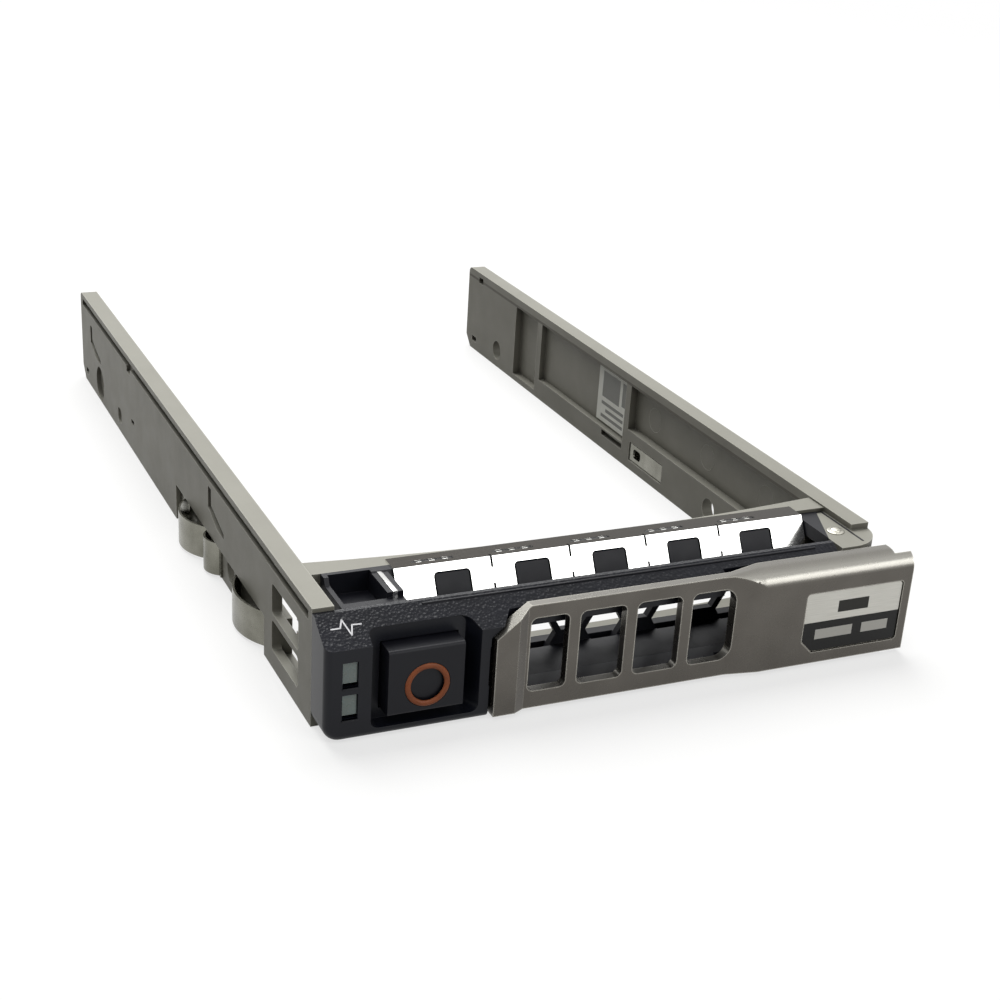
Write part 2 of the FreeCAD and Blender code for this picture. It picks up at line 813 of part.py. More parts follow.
# ----------------------------------------------------------------- vented core
def vent_core():
    body = new_body("vent_core")
    shelf = s.rail_height - s.shelf_drop
    right = outer - s.ear_width - s.core_right_gap
    prism(body, "Section", "YZ", [
        (s.bezel_back, s.core_base), (s.crossbar_front, s.core_base),
        (s.crossbar_front, strip_top), (s.core_crest, strip_top),
        (s.core_crest - s.core_slope, shelf), (s.shelf_front, shelf),
        (s.shelf_front, core_roof), (s.bezel_back, core_roof),
    ], -core_left, right)
    end_block(body)
    channel = (-vent_left, s.vent_base), (vent_right, vent_top)
    prism(body, "FrontChannel", "XZ", rounded(*channel, s.vent_corner),
          s.bezel_back - s.past, s.mesh_front, cut=True)
    prism(body, "RearChannel", "XZ", rounded(*channel, s.vent_corner),
          s.mesh_front + s.mesh_thickness, s.crossbar_front + s.past, cut=True)
    spread = s.button_flange + s.well_slack
    block(body, "ButtonWell", (-well_left, -well_right), (s.bezel_back - s.past, well_rear),
          (s.button_base - spread, button_top + spread), cut=True)
    block(body, "LatchChannel", (-channel_left, -channel_right),
          (s.bezel_back - s.past, s.latch_rear + s.slide_gap),
          (s.latch_base - s.slide_gap, s.latch_top + s.slide_gap), cut=True)
    disc(body, "SpringSeat", "XZ", spring_centre,
         s.button_coil_radius + s.wire_radius + s.seat_gap,
         well_rear - s.past, well_rear + s.button_coil_depth, cut=True)
    hex_vent(body)
    gasket_tabs(body)


def end_block(body):
    """The raised end beside the fingers, with a post for the spring clip."""
    right = gasket_left - s.end_block_gap
    top = s.rail_height - s.end_block_drop
    block(body, "EndBlock", (-core_left, right),
          (s.bezel_back + s.end_block_gap, s.crossbar_front), (core_roof - s.sink, top))
    block(body, "EndPocket", (s.end_block_gap - core_left, right - s.post_width),
          (s.post_front, s.crossbar_front - s.end_block_gap),
          (core_roof, s.rail_height), cut=True)
    block(body, "ClipPost", (right - s.post_width, right),
          (s.post_front, s.crossbar_front), (core_roof - s.sink, top + s.post_rise))


def hex_vent(body):
    """Hexagonal holes in staggered columns; only whole ones are cut."""
    pitch_x = (s.hex_across + s.hex_web) * math.sqrt(0.75)
    pitch_z = s.hex_across + s.hex_web
    half = s.hex_across / 2
    reach = half / math.sqrt(0.75)
    middle_x = (vent_right - vent_left) / 2
    middle_z = (s.vent_base + vent_top) / 2
    room_x = (vent_right + vent_left) / 2
    columns = int((room_x.value - reach.value) / pitch_x.value)
    edges, ties = [], []
    for column in range(-columns, columns + 1):
        rows = (0,) if column % 2 == 0 else (-0.5, 0.5)
        for row in rows:
            x = middle_x + pitch_x * column
            z = middle_z + pitch_z * row
            add_hexagon(edges, ties, x, z, half, reach)
    sketch = new_sketch(body, "HexVentOutline", "XZ", s.mesh_front + s.mesh_thickness / 2)
    draw(sketch, edges, ties)
    extrude(body, "HexVent", sketch, s.mesh_thickness + s.seat_gap * 4, cut=True)


def add_hexagon(edges, ties, x, z, half, reach):
    spots = [(x + reach, z), (x + reach / 2, z + half), (x - reach / 2, z + half),
             (x - reach, z), (x - reach / 2, z - half), (x + reach / 2, z - half)]
    for index, start in enumerate(spots):
        end = spots[(index + 1) % 6]
        ties += pin_down(len(edges), 1, start[0], start[1])
        ties += pin_down(len(edges), 2, end[0], end[1])
        edges.append(Part.LineSegment(Vector(start[0].value, start[1].value, 0),
                                      Vector(end[0].value, end[1].value, 0)))


def gasket_tabs(body):
    """Tabs that stand in the notches between the fingers."""
    lean = s.gasket_lean / s.gasket_drop
    half = s.notch_width / 2 - s.tab_side_gap
    head = strip_top - s.notch_top - s.tab_side_gap
    foot = s.rail_height - s.shelf_drop - s.sink
    front = s.gasket_front - (s.gasket_thickness + s.notch_top) * lean
    run = (head - foot) * lean
    for index in range(-2, 3):
        middle = gasket_middle + finger_pitch * index
        prism(body, f"Tab{index + 3}", "YZ", [
            (front, head), (front + s.tab_thickness, head),
            (front + s.tab_thickness - run, foot), (front - run, foot),
        ], middle - half, middle + half)


# --------------------------------------------------------------------- handle
def handle():
    body = new_body("handle")
    right = outer + s.handle_overhang
    shell_right = outer - s.shell_inset
    reach, wall = s.handle_reach, s.handle_wall
    grille_back = grille_face + wall
    prism(body, "Plan", "XY", [
        (-handle_left, -reach), (-grille_left - s.ramp_left, -reach),
        (-grille_left, grille_face), (grille_right, grille_face),
        (grille_right + s.ramp_right, -reach), (right, -reach),
        (right, s.lip_thickness - reach), (shell_right, s.lip_thickness - reach),
        (shell_right, handle_back), (grille_right + s.ramp_right, handle_back),
        (grille_right, grille_back), (-grille_left, grille_back),
        (-handle_left, grille_back),
    ], s.handle_base, handle_top)
    corner = handle_top - s.pull_corner_height
    prism(body, "PullCorner", "XZ", [
        (-handle_left - s.past, corner), (-handle_left, corner),
        (s.pull_corner_width - handle_left, handle_top),
        (s.pull_corner_width - handle_left, handle_top + s.past),
        (-handle_left - s.past, handle_top + s.past),
    ], -reach - s.past, handle_back + s.past, cut=True)
    shoulder(body, right)
    handle_windows(body)
    knuckle(body)
    hook(body)
    prism(body, "LabelRecess", "XZ", label_outline(0),
          -reach - s.past, s.label_recess - reach, cut=True)


def shoulder_section(radius):
    """What is cut away over the rounded top edge."""
    front, top = -s.handle_reach, handle_top
    return [
        (front, top - radius, -radius * QUARTER_SAG), (front + radius, top),
        (front + radius, top + s.past), (front - s.past, top + s.past),
        (front - s.past, top - radius),
    ]


def shoulder(body, right):
    """The top edge starts sharp at the grille and grows to a full round."""
    start = grille_right - s.shoulder_lead
    end = grille_right + s.ramp_right
    sharp = new_sketch(body, "ShoulderStart", "YZ", start)
    draw_outline(sharp, shoulder_section(s.grille_recess + s.seat_gap))
    full = new_sketch(body, "ShoulderEnd", "YZ", end)
    draw_outline(full, shoulder_section(s.shoulder_radius))
    loft = body.newObject("PartDesign::SubtractiveLoft", "ShoulderGrowth")
    loft.Profile = sharp
    loft.Sections = [full]
    loft.Ruled = True
    prism(body, "Shoulder", "YZ", shoulder_section(s.shoulder_radius),
          end, right + s.past, cut=True)


def handle_windows(body):
    """Four air windows: the first is narrower, the last rounder at its right."""
    left = s.slot_margin - grille_left
    right = grille_right + s.slot_overrun
    width = (right - left + s.first_slot_less - s.slot_web * 3) / 4
    high = handle_top - s.slot_drop
    for index in range(4):
        end = right - (width + s.slot_web) * (3 - index)
        start = left if index == 0 else end - width
        corner = s.last_slot_corner if index == 3 else s.slot_corner
        prism(body, f"Window{index + 1}", "XZ",
              slot_outline((start, s.window_low), (end, high), s.slot_corner, corner),
              -s.handle_reach - s.past, handle_back + s.past, cut=True)


def slot_outline(low, high, left_radius, right_radius):
    """A rectangle whose left and right corners are rounded differently."""
    (x0, y0), (x1, y1) = low, high
    left_sag, right_sag = left_radius * QUARTER_SAG, right_radius * QUARTER_SAG
    return [
        (x0 + left_radius, y0), (x1 - right_radius, y0, right_sag),
        (x1, y0 + right_radius), (x1, y1 - right_radius, right_sag),
        (x1 - right_radius, y1), (x0 + left_radius, y1, left_sag),
        (x0, y1 - left_radius), (x0, y0 + left_radius, left_sag),
    ]


def knuckle(body):
    """The arm and the eye that turn on the hinge pin."""
    base, top = ear_base_top + s.ear_gap, knuckle_top
    block(body, "Arm", (pin_x - s.knuckle_radius, pin_x + s.knuckle_radius),
          (handle_back - s.sink, s.pin_y), (base, top))
    disc(body, "Eye", "XY", (pin_x, s.pin_y), s.knuckle_radius, base, top)
    disc(body, "EyeBore", "XY", (pin_x, s.pin_y), s.pin_radius + s.hinge_clearance,
         base - s.past, top + s.past, cut=True)


def hook(body):
    """A barbed hook behind the finger pull, which the latch holds."""
    left, right = -hook_left, s.hook_width - hook_left
    root = grille_face + s.handle_wall - s.sink
    reach = s.hook_reach
    prism(body, "Hook", "XY", [
        (right, root), (right, reach), (left, reach), (left - s.barb, reach - s.barb),
        (left, reach - s.barb), (left, root),
    ], s.hook_base, s.hook_top)


def label_outline(inset):
    """The label's shape: rounded, with its lower left corner cut off."""
    left, right = label_left + inset, label_right - inset
    base, top = s.label_base + inset, s.rail_height - s.label_drop - inset
    round_off = s.label_rounding
    sag = round_off * QUARTER_SAG
    return [
        (left + s.label_corner, base), (right - round_off, base, sag),
        (right, base + round_off), (right, top - round_off, sag),
        (right - round_off, top), (left + round_off, top, sag),
        (left, top - round_off), (left, base + s.label_corner),
    ]


def handle_label():
    body = new_body("handle_label")
    floor = s.label_recess - s.handle_reach
    prism(body, "Plate", "XZ", label_outline(s.label_gap), floor - s.label_thickness, floor)


# ---------------------------------------------------------- button and latch
def release_button():
    body = new_body("release_button")
    left, right = -button_left, s.button_width - button_left
    base, top = s.button_base, button_top
    back, flange = s.button_back, s.button_flange
    block(body, "Stem", (left, right), (-s.button_face, back), (base, top))
    round_edges(body, "FaceEdges", s.button_edge, "X",
                [(-s.button_face, base), (-s.button_face, top)])
    block(body, "StopFlange", (left - flange, right - flange),
          (s.bezel_back + s.slide_gap, back), (base - flange, top + flange))
    hollow_right = s.hollow_width - hollow_left
    half = s.hollow_width / 2
    block(body, "SpringHollow", (-hollow_left, hollow_right),
          (back - s.hollow_depth, back + s.past),
          (spring_centre[1] - half, spring_centre[1] + half), cut=True)
    prism(body, "Wedge", "XY", [
        (-wedge_left, back - s.sink), (s.wedge_width - wedge_left, back - s.sink),
        (s.wedge_width - wedge_left, back + s.wedge_reach + s.wedge_width),
        (-wedge_left, back + s.wedge_reach),
    ], s.latch_base + s.wedge_inset, s.latch_top - s.wedge_inset)
    outside, inside = s.ring_radius + s.ring_gap, s.ring_radius - s.ring_width
    disc(body, "RingSeat", "XZ", (-ring_x, s.ring_z), outside,
         -s.button_face - s.past, s.ring_depth - s.button_face, cut=True)
    disc(body, "Dish", "XZ", (-ring_x, s.ring_z), inside - s.ring_gap,
         s.dimple_depth - s.button_face, s.ring_depth - s.button_face + s.seat_gap)


def button_ring():
    body = new_body("button_ring")
    centre = (-ring_x, s.ring_z)
    front = -s.button_face - s.ring_proud
    disc(body, "Ring", "XZ", centre, s.ring_radius, front, s.ring_depth - s.button_face)
    disc(body, "Opening", "XZ", centre, s.ring_radius - s.ring_width,
         front - s.past, s.ring_depth - s.button_face + s.past, cut=True)


def latch():
    """A sliding latch: the button's wedge drives it left, clear of the hook."""
    body = new_body("latch")
    slope = s.button_back + s.wedge_reach + wedge_left + s.wedge_gap
    tail_front = pressed_back + s.latch_lead
    ramp_rear = pressed_back + s.wedge_reach + s.wedge_width + s.latch_lead
    arm_left = -latch_tip - s.latch_arm
    nose_rear = s.hook_reach - s.barb - s.latch_relief
    prism(body, "Slide", "XY", [
        (-latch_tail, s.latch_rear), (-latch_tail, tail_front),
        (tail_front - slope, tail_front), (ramp_rear - slope, ramp_rear),
        (arm_left, ramp_rear), (arm_left, s.latch_front),
        (s.latch_front - nose_rear - latch_tip, s.latch_front), (-latch_tip, nose_rear),
        (-latch_tip, s.latch_rear),
    ], s.latch_base, s.latch_top)


def hinge_pin():
    body = new_body("hinge_pin")
    disc(body, "Shank", "XY", (pin_x, s.pin_y), s.pin_radius, s.core_base, ear_top)
    disc(body, "Head", "XY", (pin_x, s.pin_y), s.pin_head_radius,
         ear_top, ear_top + s.pin_head_height)
    round_head(body)


def round_head(body):
    doc.recompute()
    head = body.Tip
    rim = [f"Edge{number}" for number, edge in enumerate(head.Shape.Edges, start=1)
           if edge.Curve.TypeId == "Part::GeomCircle"
           and abs(edge.BoundBox.ZMin - (ear_top + s.pin_head_height).value) < 0.01]
    dome = body.newObject("PartDesign::Fillet", "Dome")
    dome.Base = (head, rim)
    dome.setExpression("Radius", (s.pin_head_height * 0.6).formula)


# -------------------------------------------------------------------- springs
def coil_points(radius, pitch, turns):
    """A helix as short chords, wound clockwise from the +X side."""
    steps = round(turns * COIL_CHORDS)
    for step in range(steps + 1):
        angle = -2 * math.pi * step / COIL_CHORDS
        yield Vector(radius * math.cos(angle), radius * math.sin(angle),
                     pitch * step / COIL_CHORDS)


def wire_along(points):
    """Spring wire of six sides, mitred where the path turns."""
    along = (points[1] - points[0]).normalize()
    across = along.cross(Vector(0, 0, 1)).normalize()
    upward = along.cross(across)
    rim = []
    for side in range(7):
        angle = 2 * math.pi * side / 6
        rim.append(points[0] + (across * math.cos(angle) + upward * math.sin(angle))
                   * s.wire_radius.value)
    section = Part.makePolygon(rim)
    return Part.makePolygon(points).makePipeShell([section], True, False, 1)


def handle_spring():
    """A torsion spring round the hinge pin, which pops the released handle open."""
    base = (knuckle_top + s.ear_gap + s.wire_radius * 2).value
    radius = s.hinge_coil_radius.value
    middle = Vector(pin_x.value, s.pin_y.value, base)
    winding = [middle + point for point in
               coil_points(radius, s.hinge_coil_pitch.value, s.hinge_coil_turns.value)]
    rear_end, front_end = Vector(winding[0]), Vector(winding[-1])
    rear_end.y = s.crossbar_front.value
    front_end.y = (handle_back + s.swing_gap).value
    placed_feature("handle_spring", wire_along([rear_end] + winding + [front_end]))


def return_spring(label, centre, axis, radius, length, turns):
    """A coil between two seats, with its wire just clear of both."""
    wire = s.wire_radius.value
    pitch = (length - 2 * wire) / turns
    solid = wire_along(list(coil_points(radius, pitch, turns)))
    turn = FreeCAD.Rotation(Vector(0, 0, 1), axis)
    solid.Placement = FreeCAD.Placement(centre + axis * wire, turn)
    placed_feature(label, solid)


def button_spring():
    x, z = (size.value for size in spring_centre)
    slack = s.spring_slack.value
    start = (s.button_back - s.hollow_depth).value + slack
    end = (well_rear + s.button_coil_depth).value - slack
    return_spring("button_spring", Vector(x, start, z), Vector(0, 1, 0),
                  s.button_coil_radius.value, end - start, s.button_coil_turns.value)


def latch_spring():
    slack = s.spring_slack.value
    start = slack - channel_left.value
    length = (channel_left - latch_tail).value - 2 * slack
    middle = (s.latch_rear + well_rear).value / 2
    height = (s.latch_base + s.latch_top).value / 2
    return_spring("latch_spring", Vector(start, middle, height), Vector(1, 0, 0),
                  s.latch_coil_radius.value, length, s.latch_coil_turns.value)


def leaf_outline(side, start, end, lobes):
    """A strip in plan: a flat tab, then lobes that bow outwards."""
    seat = outer - s.leaf_seat_depth
    face = seat + s.leaf_thickness
    sign = 1 if side > 0 else -1
    out = [(side * face, start)]
    for low, high, bulge in lobes:
        out.append((side * face, low, sign * bulge))
        out.append((side * face, high))
    out += [(side * face, end), (side * seat, end)]
    for low, high, bulge in reversed(lobes):
        out.append((side * seat, high, -sign * bulge))
        out.append((side * seat, low))
    return out + [(side * seat, start)]


def leaf_springs():
    """Sprung strips that hold the caddy steady between the slot's walls."""
    crest = s.leaf_bulge + s.leaf_seat_depth - s.leaf_thickness
    top = s.leaf_base + s.leaf_width
    for side, end in ((-1, "left"), (1, "right")):
        rear = new_body(f"rear_leaf_{end}")
        lobes = [(s.rear_leaf_start + s.leaf_tab / 2, s.rear_leaf_waist,
                  crest * s.small_lobe_share),
                 (s.rear_leaf_waist + s.waist_gap, s.rear_leaf_crest, crest)]
        prism(rear, "Strip", "XY",
              leaf_outline(side, s.rear_leaf_start, s.rear_leaf_end - s.leaf_slack, lobes),
              s.leaf_base, top)
        leaf_tab(rear, side)
        front = new_body(f"front_leaf_{end}")
        lobes = [(s.front_leaf_start + s.leaf_tab, s.front_leaf_end - s.leaf_tab / 2,
                  crest * s.front_lobe_share)]
        prism(front, "Strip", "XY",
              leaf_outline(side, s.front_leaf_start + s.leaf_slack, s.front_leaf_end, lobes),
              s.leaf_base, top)


def leaf_tab(body, side):
    """The pierced tab that passes through the rail and shows on its inner face."""
    low, high = inner + s.tab_sink, inner + s.tab_sink + s.leaf_thickness
    rear = s.rear_leaf_end - s.tab_window_inset - s.tab_gap
    base = s.tab_window_base + s.tab_gap
    top = s.tab_window_base + s.tab_window_height - s.tab_gap
    block(body, "Tab", (side * low, side * high),
          (s.tab_window_start + s.tab_gap, rear), (base, top))
    block(body, "Web", (side * low, side * (outer - s.leaf_seat_depth + s.tab_gap)),
          (rear - s.leaf_thickness, rear), (base, top))
    faces = sorted([side * (low - s.past), side * (high + s.tab_gap)],
                   key=lambda size: size.value)
    middle = (base + top) / 2
    start = rear - s.tab_hole_length - s.tab_window_inset * 2
    hole = rounded((start, middle - s.tab_hole_height / 2),
                   (start + s.tab_hole_length, middle + s.tab_hole_height / 2),
                   s.tab_hole_height / 3)
    prism(body, "TabHole", "YZ", hole, faces[0], faces[1], cut=True)


# ----------------------------------------------------------- grounding fingers
def grounding_fingers():
    """A bent sheet over the crossbar, notched and slit into sprung fingers."""
    body = new_body("grounding_fingers")
    thick, lean = s.gasket_thickness, s.gasket_lean
    top = strip_top + thick
    front, rear = s.gasket_front, crossbar_rear - s.seat_gap
    foot = top - s.gasket_drop - thick
    prism(body, "Bend", "YZ", [
        (rear, top), (front, top), (front - lean, foot), (front - lean + thick, foot),
        (front + thick, strip_top), (rear, strip_top),
    ], gasket_left, gasket_right)
    ahead, behind = front - lean - s.past, front + s.slit_length
    half, head, corner = s.notch_width / 2, strip_top - s.notch_top, s.notch_corner
    for index in range(-2, 3):
        middle = gasket_middle + finger_pitch * index
        prism(body, f"Notch{index + 3}", "XZ", [
            (middle - half, foot - s.past), (middle + half, foot - s.past),
            (middle + half, head - corner, corner * QUARTER_SAG), (middle + half - corner, head),
            (middle - half + corner, head, corner * QUARTER_SAG), (middle - half, head - corner),
        ], ahead, behind, cut=True)
        right = middle - s.strip_slot_offset + s.strip_slot_length / 2
        slot_rear = s.crossbar_front - s.strip_slot_rear
        block(body, f"StripSlot{index + 3}", (right - s.strip_slot_length, right),
              (slot_rear - s.strip_slot_width, slot_rear), (strip_top - s.past, top + s.past),
              cut=True)
    for index in range(-2, 2):
        middle = gasket_middle + finger_pitch * (index + 0.5)
        sides = (middle - s.slit_width / 2, middle + s.slit_width / 2)
        block(body, f"Slit{index + 3}", sides, (ahead, front + s.slit_length / 2),
              (top - s.gasket_drop / 3, top + s.past), cut=True)
        block(body, f"LowerSlit{index + 3}", sides, (ahead, behind),
              (foot - s.past, foot + s.lower_slit), cut=True)


# ------------------------------------------------------- light pipes and label
def light_pipe(label, base):
    """A clear bar from a lamp window to the window in the left rail."""
    body = new_body(label)
    left, right = -pipe_left, s.pipe_width - pipe_left
    front = s.pipe_sink - s.bezel_depth
    prism(body, "Bar", "XY", [
        (left, front), (right, front), (right, s.pipe_rear - s.pipe_width),
        (left, s.pipe_rear),
    ], base, base + s.pipe_height)


def rail_label():
    body = new_body("rail_label")
    floor = inner + s.pocket_depth * s.long_pocket_share
    block(body, "Paper", (floor - s.sticker_thickness, floor),
          (s.sticker_start, s.sticker_start + s.sticker_width),
          (s.sticker_base, s.rail_height - s.sticker_drop))


def build():
    frame()
    bezel()
    vent_core()
    handle()
    handle_label()
    hinge_pin()
    handle_spring()
    release_button()
    button_ring()
    button_spring()
    latch()
    latch_spring()
    grounding_fingers()
    leaf_springs()
    light_pipe("light_pipe_upper", s.pipe_high)
    light_pipe("light_pipe_lower", s.pipe_low)
    rail_label()
    doc.recompute()


def check_and_write():
    """Stop on any failed object or bad solid, then write one file for each piece."""
    failed = [item.Label for item in doc.Objects
              if "Invalid" in item.State or "Error" in item.State]
    if failed:
        raise RuntimeError(f"these objects failed: {failed}")
    os.makedirs("parts", exist_ok=True)
    for label, piece in pieces.items():
        shape = piece.Shape
        if shape.isNull() or not shape.isValid() or not shape.Solids:
            raise RuntimeError(f"{label} has no valid solid")
        shape.exportStep(f"parts/{label}.step")
        box = shape.BoundBox
        print(f"{label:20s} solids {len(shape.Solids)} volume {shape.Volume:9.2f} "
              f"x {box.XMin:7.2f} {box.XMax:7.2f} y {box.YMin:7.2f} {box.YMax:7.2f} "
              f"z {box.ZMin:6.2f} {box.ZMax:6.2f}")


build()
check_and_write()
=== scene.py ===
import json
import math

import bmesh
import bpy
from mathutils import Euler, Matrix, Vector

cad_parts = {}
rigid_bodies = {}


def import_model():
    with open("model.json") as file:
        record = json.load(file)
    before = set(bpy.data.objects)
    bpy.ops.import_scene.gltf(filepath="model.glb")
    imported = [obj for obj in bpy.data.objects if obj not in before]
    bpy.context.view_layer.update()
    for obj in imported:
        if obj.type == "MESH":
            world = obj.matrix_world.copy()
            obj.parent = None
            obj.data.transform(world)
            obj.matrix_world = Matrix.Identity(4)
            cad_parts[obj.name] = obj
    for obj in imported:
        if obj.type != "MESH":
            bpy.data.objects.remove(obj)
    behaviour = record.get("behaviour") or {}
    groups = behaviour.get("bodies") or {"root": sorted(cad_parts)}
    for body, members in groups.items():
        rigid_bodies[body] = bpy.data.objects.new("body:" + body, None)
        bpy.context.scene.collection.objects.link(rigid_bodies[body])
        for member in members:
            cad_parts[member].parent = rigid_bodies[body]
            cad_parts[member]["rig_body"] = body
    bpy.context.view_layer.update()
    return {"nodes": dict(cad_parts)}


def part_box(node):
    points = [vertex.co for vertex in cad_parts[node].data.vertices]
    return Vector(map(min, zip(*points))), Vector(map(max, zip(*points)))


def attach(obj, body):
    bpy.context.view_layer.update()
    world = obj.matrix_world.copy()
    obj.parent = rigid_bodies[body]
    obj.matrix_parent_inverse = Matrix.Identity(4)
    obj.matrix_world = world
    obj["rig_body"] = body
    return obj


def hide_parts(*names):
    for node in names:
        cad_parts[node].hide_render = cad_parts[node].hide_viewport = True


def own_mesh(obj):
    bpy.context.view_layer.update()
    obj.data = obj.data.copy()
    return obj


mm = 0.001
weldReach = 0.002 * mm  # corners closer than this become one

print("stage: loading the packed caddy")
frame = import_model()
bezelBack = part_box("bezel")[1].y
originAhead = 0.2  # the origin used by place lies this far ahead of the bezel's back, in mm


# a place on the caddy: across, back from the left rail's front end, and up, in mm
def place(x, y, z):
    return Vector((x * mm, bezelBack + (y - originAhead) * mm, z * mm))


# an sRGB hex code as linear red, green, blue and a full alpha
def hexColour(code):
    channels = [int(code[i:i + 2], 16) / 255 for i in (1, 3, 5)]
    linear = [c / 12.92 if c <= 0.04045 else ((c + 0.055) / 1.055) ** 2.4 for c in channels]
    return (*linear, 1.0)


# adds a node, sets its fields or sockets, and links what feeds it
def addNode(tree, kind, settings=None, feeds=None):
    node = tree.nodes.new(kind)
    for key, value in (settings or {}).items():
        if isinstance(key, str) and hasattr(node, key):
            setattr(node, key, value)
        else:
            node.inputs[key].default_value = value
    for key, socket in (feeds or {}).items():
        tree.links.new(socket, node.inputs[key])
    return node


# two close colours that drift into each other over a few millimetres, as one coat of paint does
def mottle(tree, coords, dark, light, sizeMm):
    noise = addNode(tree, "ShaderNodeTexNoise", {"Scale": 1 / (sizeMm * mm), "Detail": 3.0},
                    {"Vector": coords})
    ramp = addNode(tree, "ShaderNodeValToRGB", None, {"Fac": noise.outputs["Fac"]})
    for element, position, code in zip(ramp.color_ramp.elements, (0.3, 0.7), (dark, light)):
        element.position = position
        element.color = hexColour(code)
    return ramp.outputs["Color"]


# a roughness that wanders between two values
def wander(tree, coords, low, high, sizeMm):
    noise = addNode(tree, "ShaderNodeTexNoise", {"Scale": 1 / (sizeMm * mm), "Detail": 2.0},
                    {"Vector": coords})
    spread = addNode(tree, "ShaderNodeMapRange", {"To Min": low, "To Max": high},
                     {"Value": noise.outputs["Fac"]})
    return spread.outputs["Result"]


# the normal of a skin with an even, fine relief
def fineRelief(tree, coords, sizeMm, detail, strength, depthMm):
    noise = addNode(tree, "ShaderNodeTexNoise", {"Scale": 1 / (sizeMm * mm), "Detail": detail},
                    {"Vector": coords})
    bump = addNode(tree, "ShaderNodeBump", {"Strength": strength, "Distance": depthMm * mm},
                   {"Height": noise.outputs["Fac"]})
    return bump.outputs["Normal"]


# one where a value lies between two limits, else zero
def band(tree, value, low, high):
    over = addNode(tree, "ShaderNodeMath", {"operation": "GREATER_THAN", 1: low}, {0: value})
    under = addNode(tree, "ShaderNodeMath", {"operation": "LESS_THAN", 1: high}, {0: value})
    within = addNode(tree, "ShaderNodeMath", {"operation": "MULTIPLY"},
                     {0: over.outputs[0], 1: under.outputs[0]})
    return within.outputs[0]


# one along sharp edges, fading to zero within the given distance of them, where painted
# highlights go; the limits are cosines between the rounded and the flat normal
def edgeMask(tree, reachMm):
    rounded = addNode(tree, "ShaderNodeBevel", {"samples": 4, "Radius": reachMm * mm})
    flat = addNode(tree, "ShaderNodeNewGeometry")
    match = addNode(tree, "ShaderNodeVectorMath", {"operation": "DOT_PRODUCT"},
                    {0: rounded.outputs["Normal"], 1: flat.outputs["Normal"]})
    edgeHighlight = addNode(tree, "ShaderNodeMapRange", {"From Min": 0.985, "From Max": 0.86},
                   {"Value": match.outputs["Value"]})
    return edgeHighlight.outputs["Result"]


# one deep in a groove or corner of the piece itself, zero out on its open faces, where painted
# shade goes; the limits are shares of what is open around a point
def recessMask(tree, reachMm):
    around = addNode(tree, "ShaderNodeAmbientOcclusion",
                     {"samples": 6, "only_local": True, "Distance": reachMm * mm})
    closed = addNode(tree, "ShaderNodeMapRange", {"From Min": 0.85, "From Max": 0.3},
                     {"Value": around.outputs["AO"]})
    return closed.outputs["Result"]


# one where a face looks up, zero where it is steep
def upwardMask(tree, low, high):
    facing = addNode(tree, "ShaderNodeNewGeometry").outputs["Normal"]
    upward = addNode(tree, "ShaderNodeSeparateXYZ", None, {0: facing}).outputs["Z"]
    spread = addNode(tree, "ShaderNodeMapRange", {"From Min": low, "From Max": high},
                     {"Value": upward})
    return spread.outputs["Result"]


# lays one colour over another by a mask
def overlay(tree, base, code, mask, share=1.0):
    part = addNode(tree, "ShaderNodeMath", {"operation": "MULTIPLY", 1: share}, {0: mask})
    mix = addNode(tree, "ShaderNodeMix", {"data_type": "RGBA", 7: hexColour(code)},
                  {0: part.outputs[0], 6: base})
    return mix.outputs[2]


# plain bars, each given by its span across and up on a unit square
def bars(tree, across, up, spans):
    total = None
    for left, right, base, top in spans:
        bar = addNode(tree, "ShaderNodeMath", {"operation": "MULTIPLY"},
                      {0: band(tree, across, left, right), 1: band(tree, up, base, top)})
        if total:
            bar = addNode(tree, "ShaderNodeMath", {"operation": "MAXIMUM"},
                          {0: total, 1: bar.outputs[0]})
        total = bar.outputs[0]
    return total


# object coordinates turned into a unit box over a piece
def unitBox(tree, coords, low, high):
    thinnest = 0.01 * mm
    size = tuple(max(top - base, thinnest) for base, top in zip(low, high))
    local = addNode(tree, "ShaderNodeMapping",
                    {"vector_type": "TEXTURE", "Location": tuple(low), "Scale": size},
                    {"Vector": coords}).outputs["Vector"]
    return addNode(tree, "ShaderNodeSeparateXYZ", None, {0: local}).outputs


# the empty node tree of a material or a world
def emptyTree(owner):
    owner.use_nodes = True
    owner.node_tree.nodes.clear()
    return owner.node_tree


def startMaterial(name, shader):
    material = bpy.data.materials.new(name)
    tree = emptyTree(material)
    surface = addNode(tree, "ShaderNodeBsdfPrincipled", shader)
    addNode(tree, "ShaderNodeOutputMaterial", None, {"Surface": surface.outputs["BSDF"]})
    coords = addNode(tree, "ShaderNodeTexCoord").outputs["Object"]
    return material, tree, surface, coords


# gives a surface its colour, its roughness and, where the skin has relief, its normal
def feedSurface(tree, surface, colour, roughness, normal=None):
    tree.links.new(colour, surface.inputs["Base Color"])
    tree.links.new(roughness, surface.inputs["Roughness"])
    if normal is not None:
        tree.links.new(normal, surface.inputs["Normal"])


# the line of painted shadow under the top flange, inside both rails, in mm
flangeShadowLine = {"base": 13.35, "top": 13.8, "inner": 34.7, "outer": 36.6}


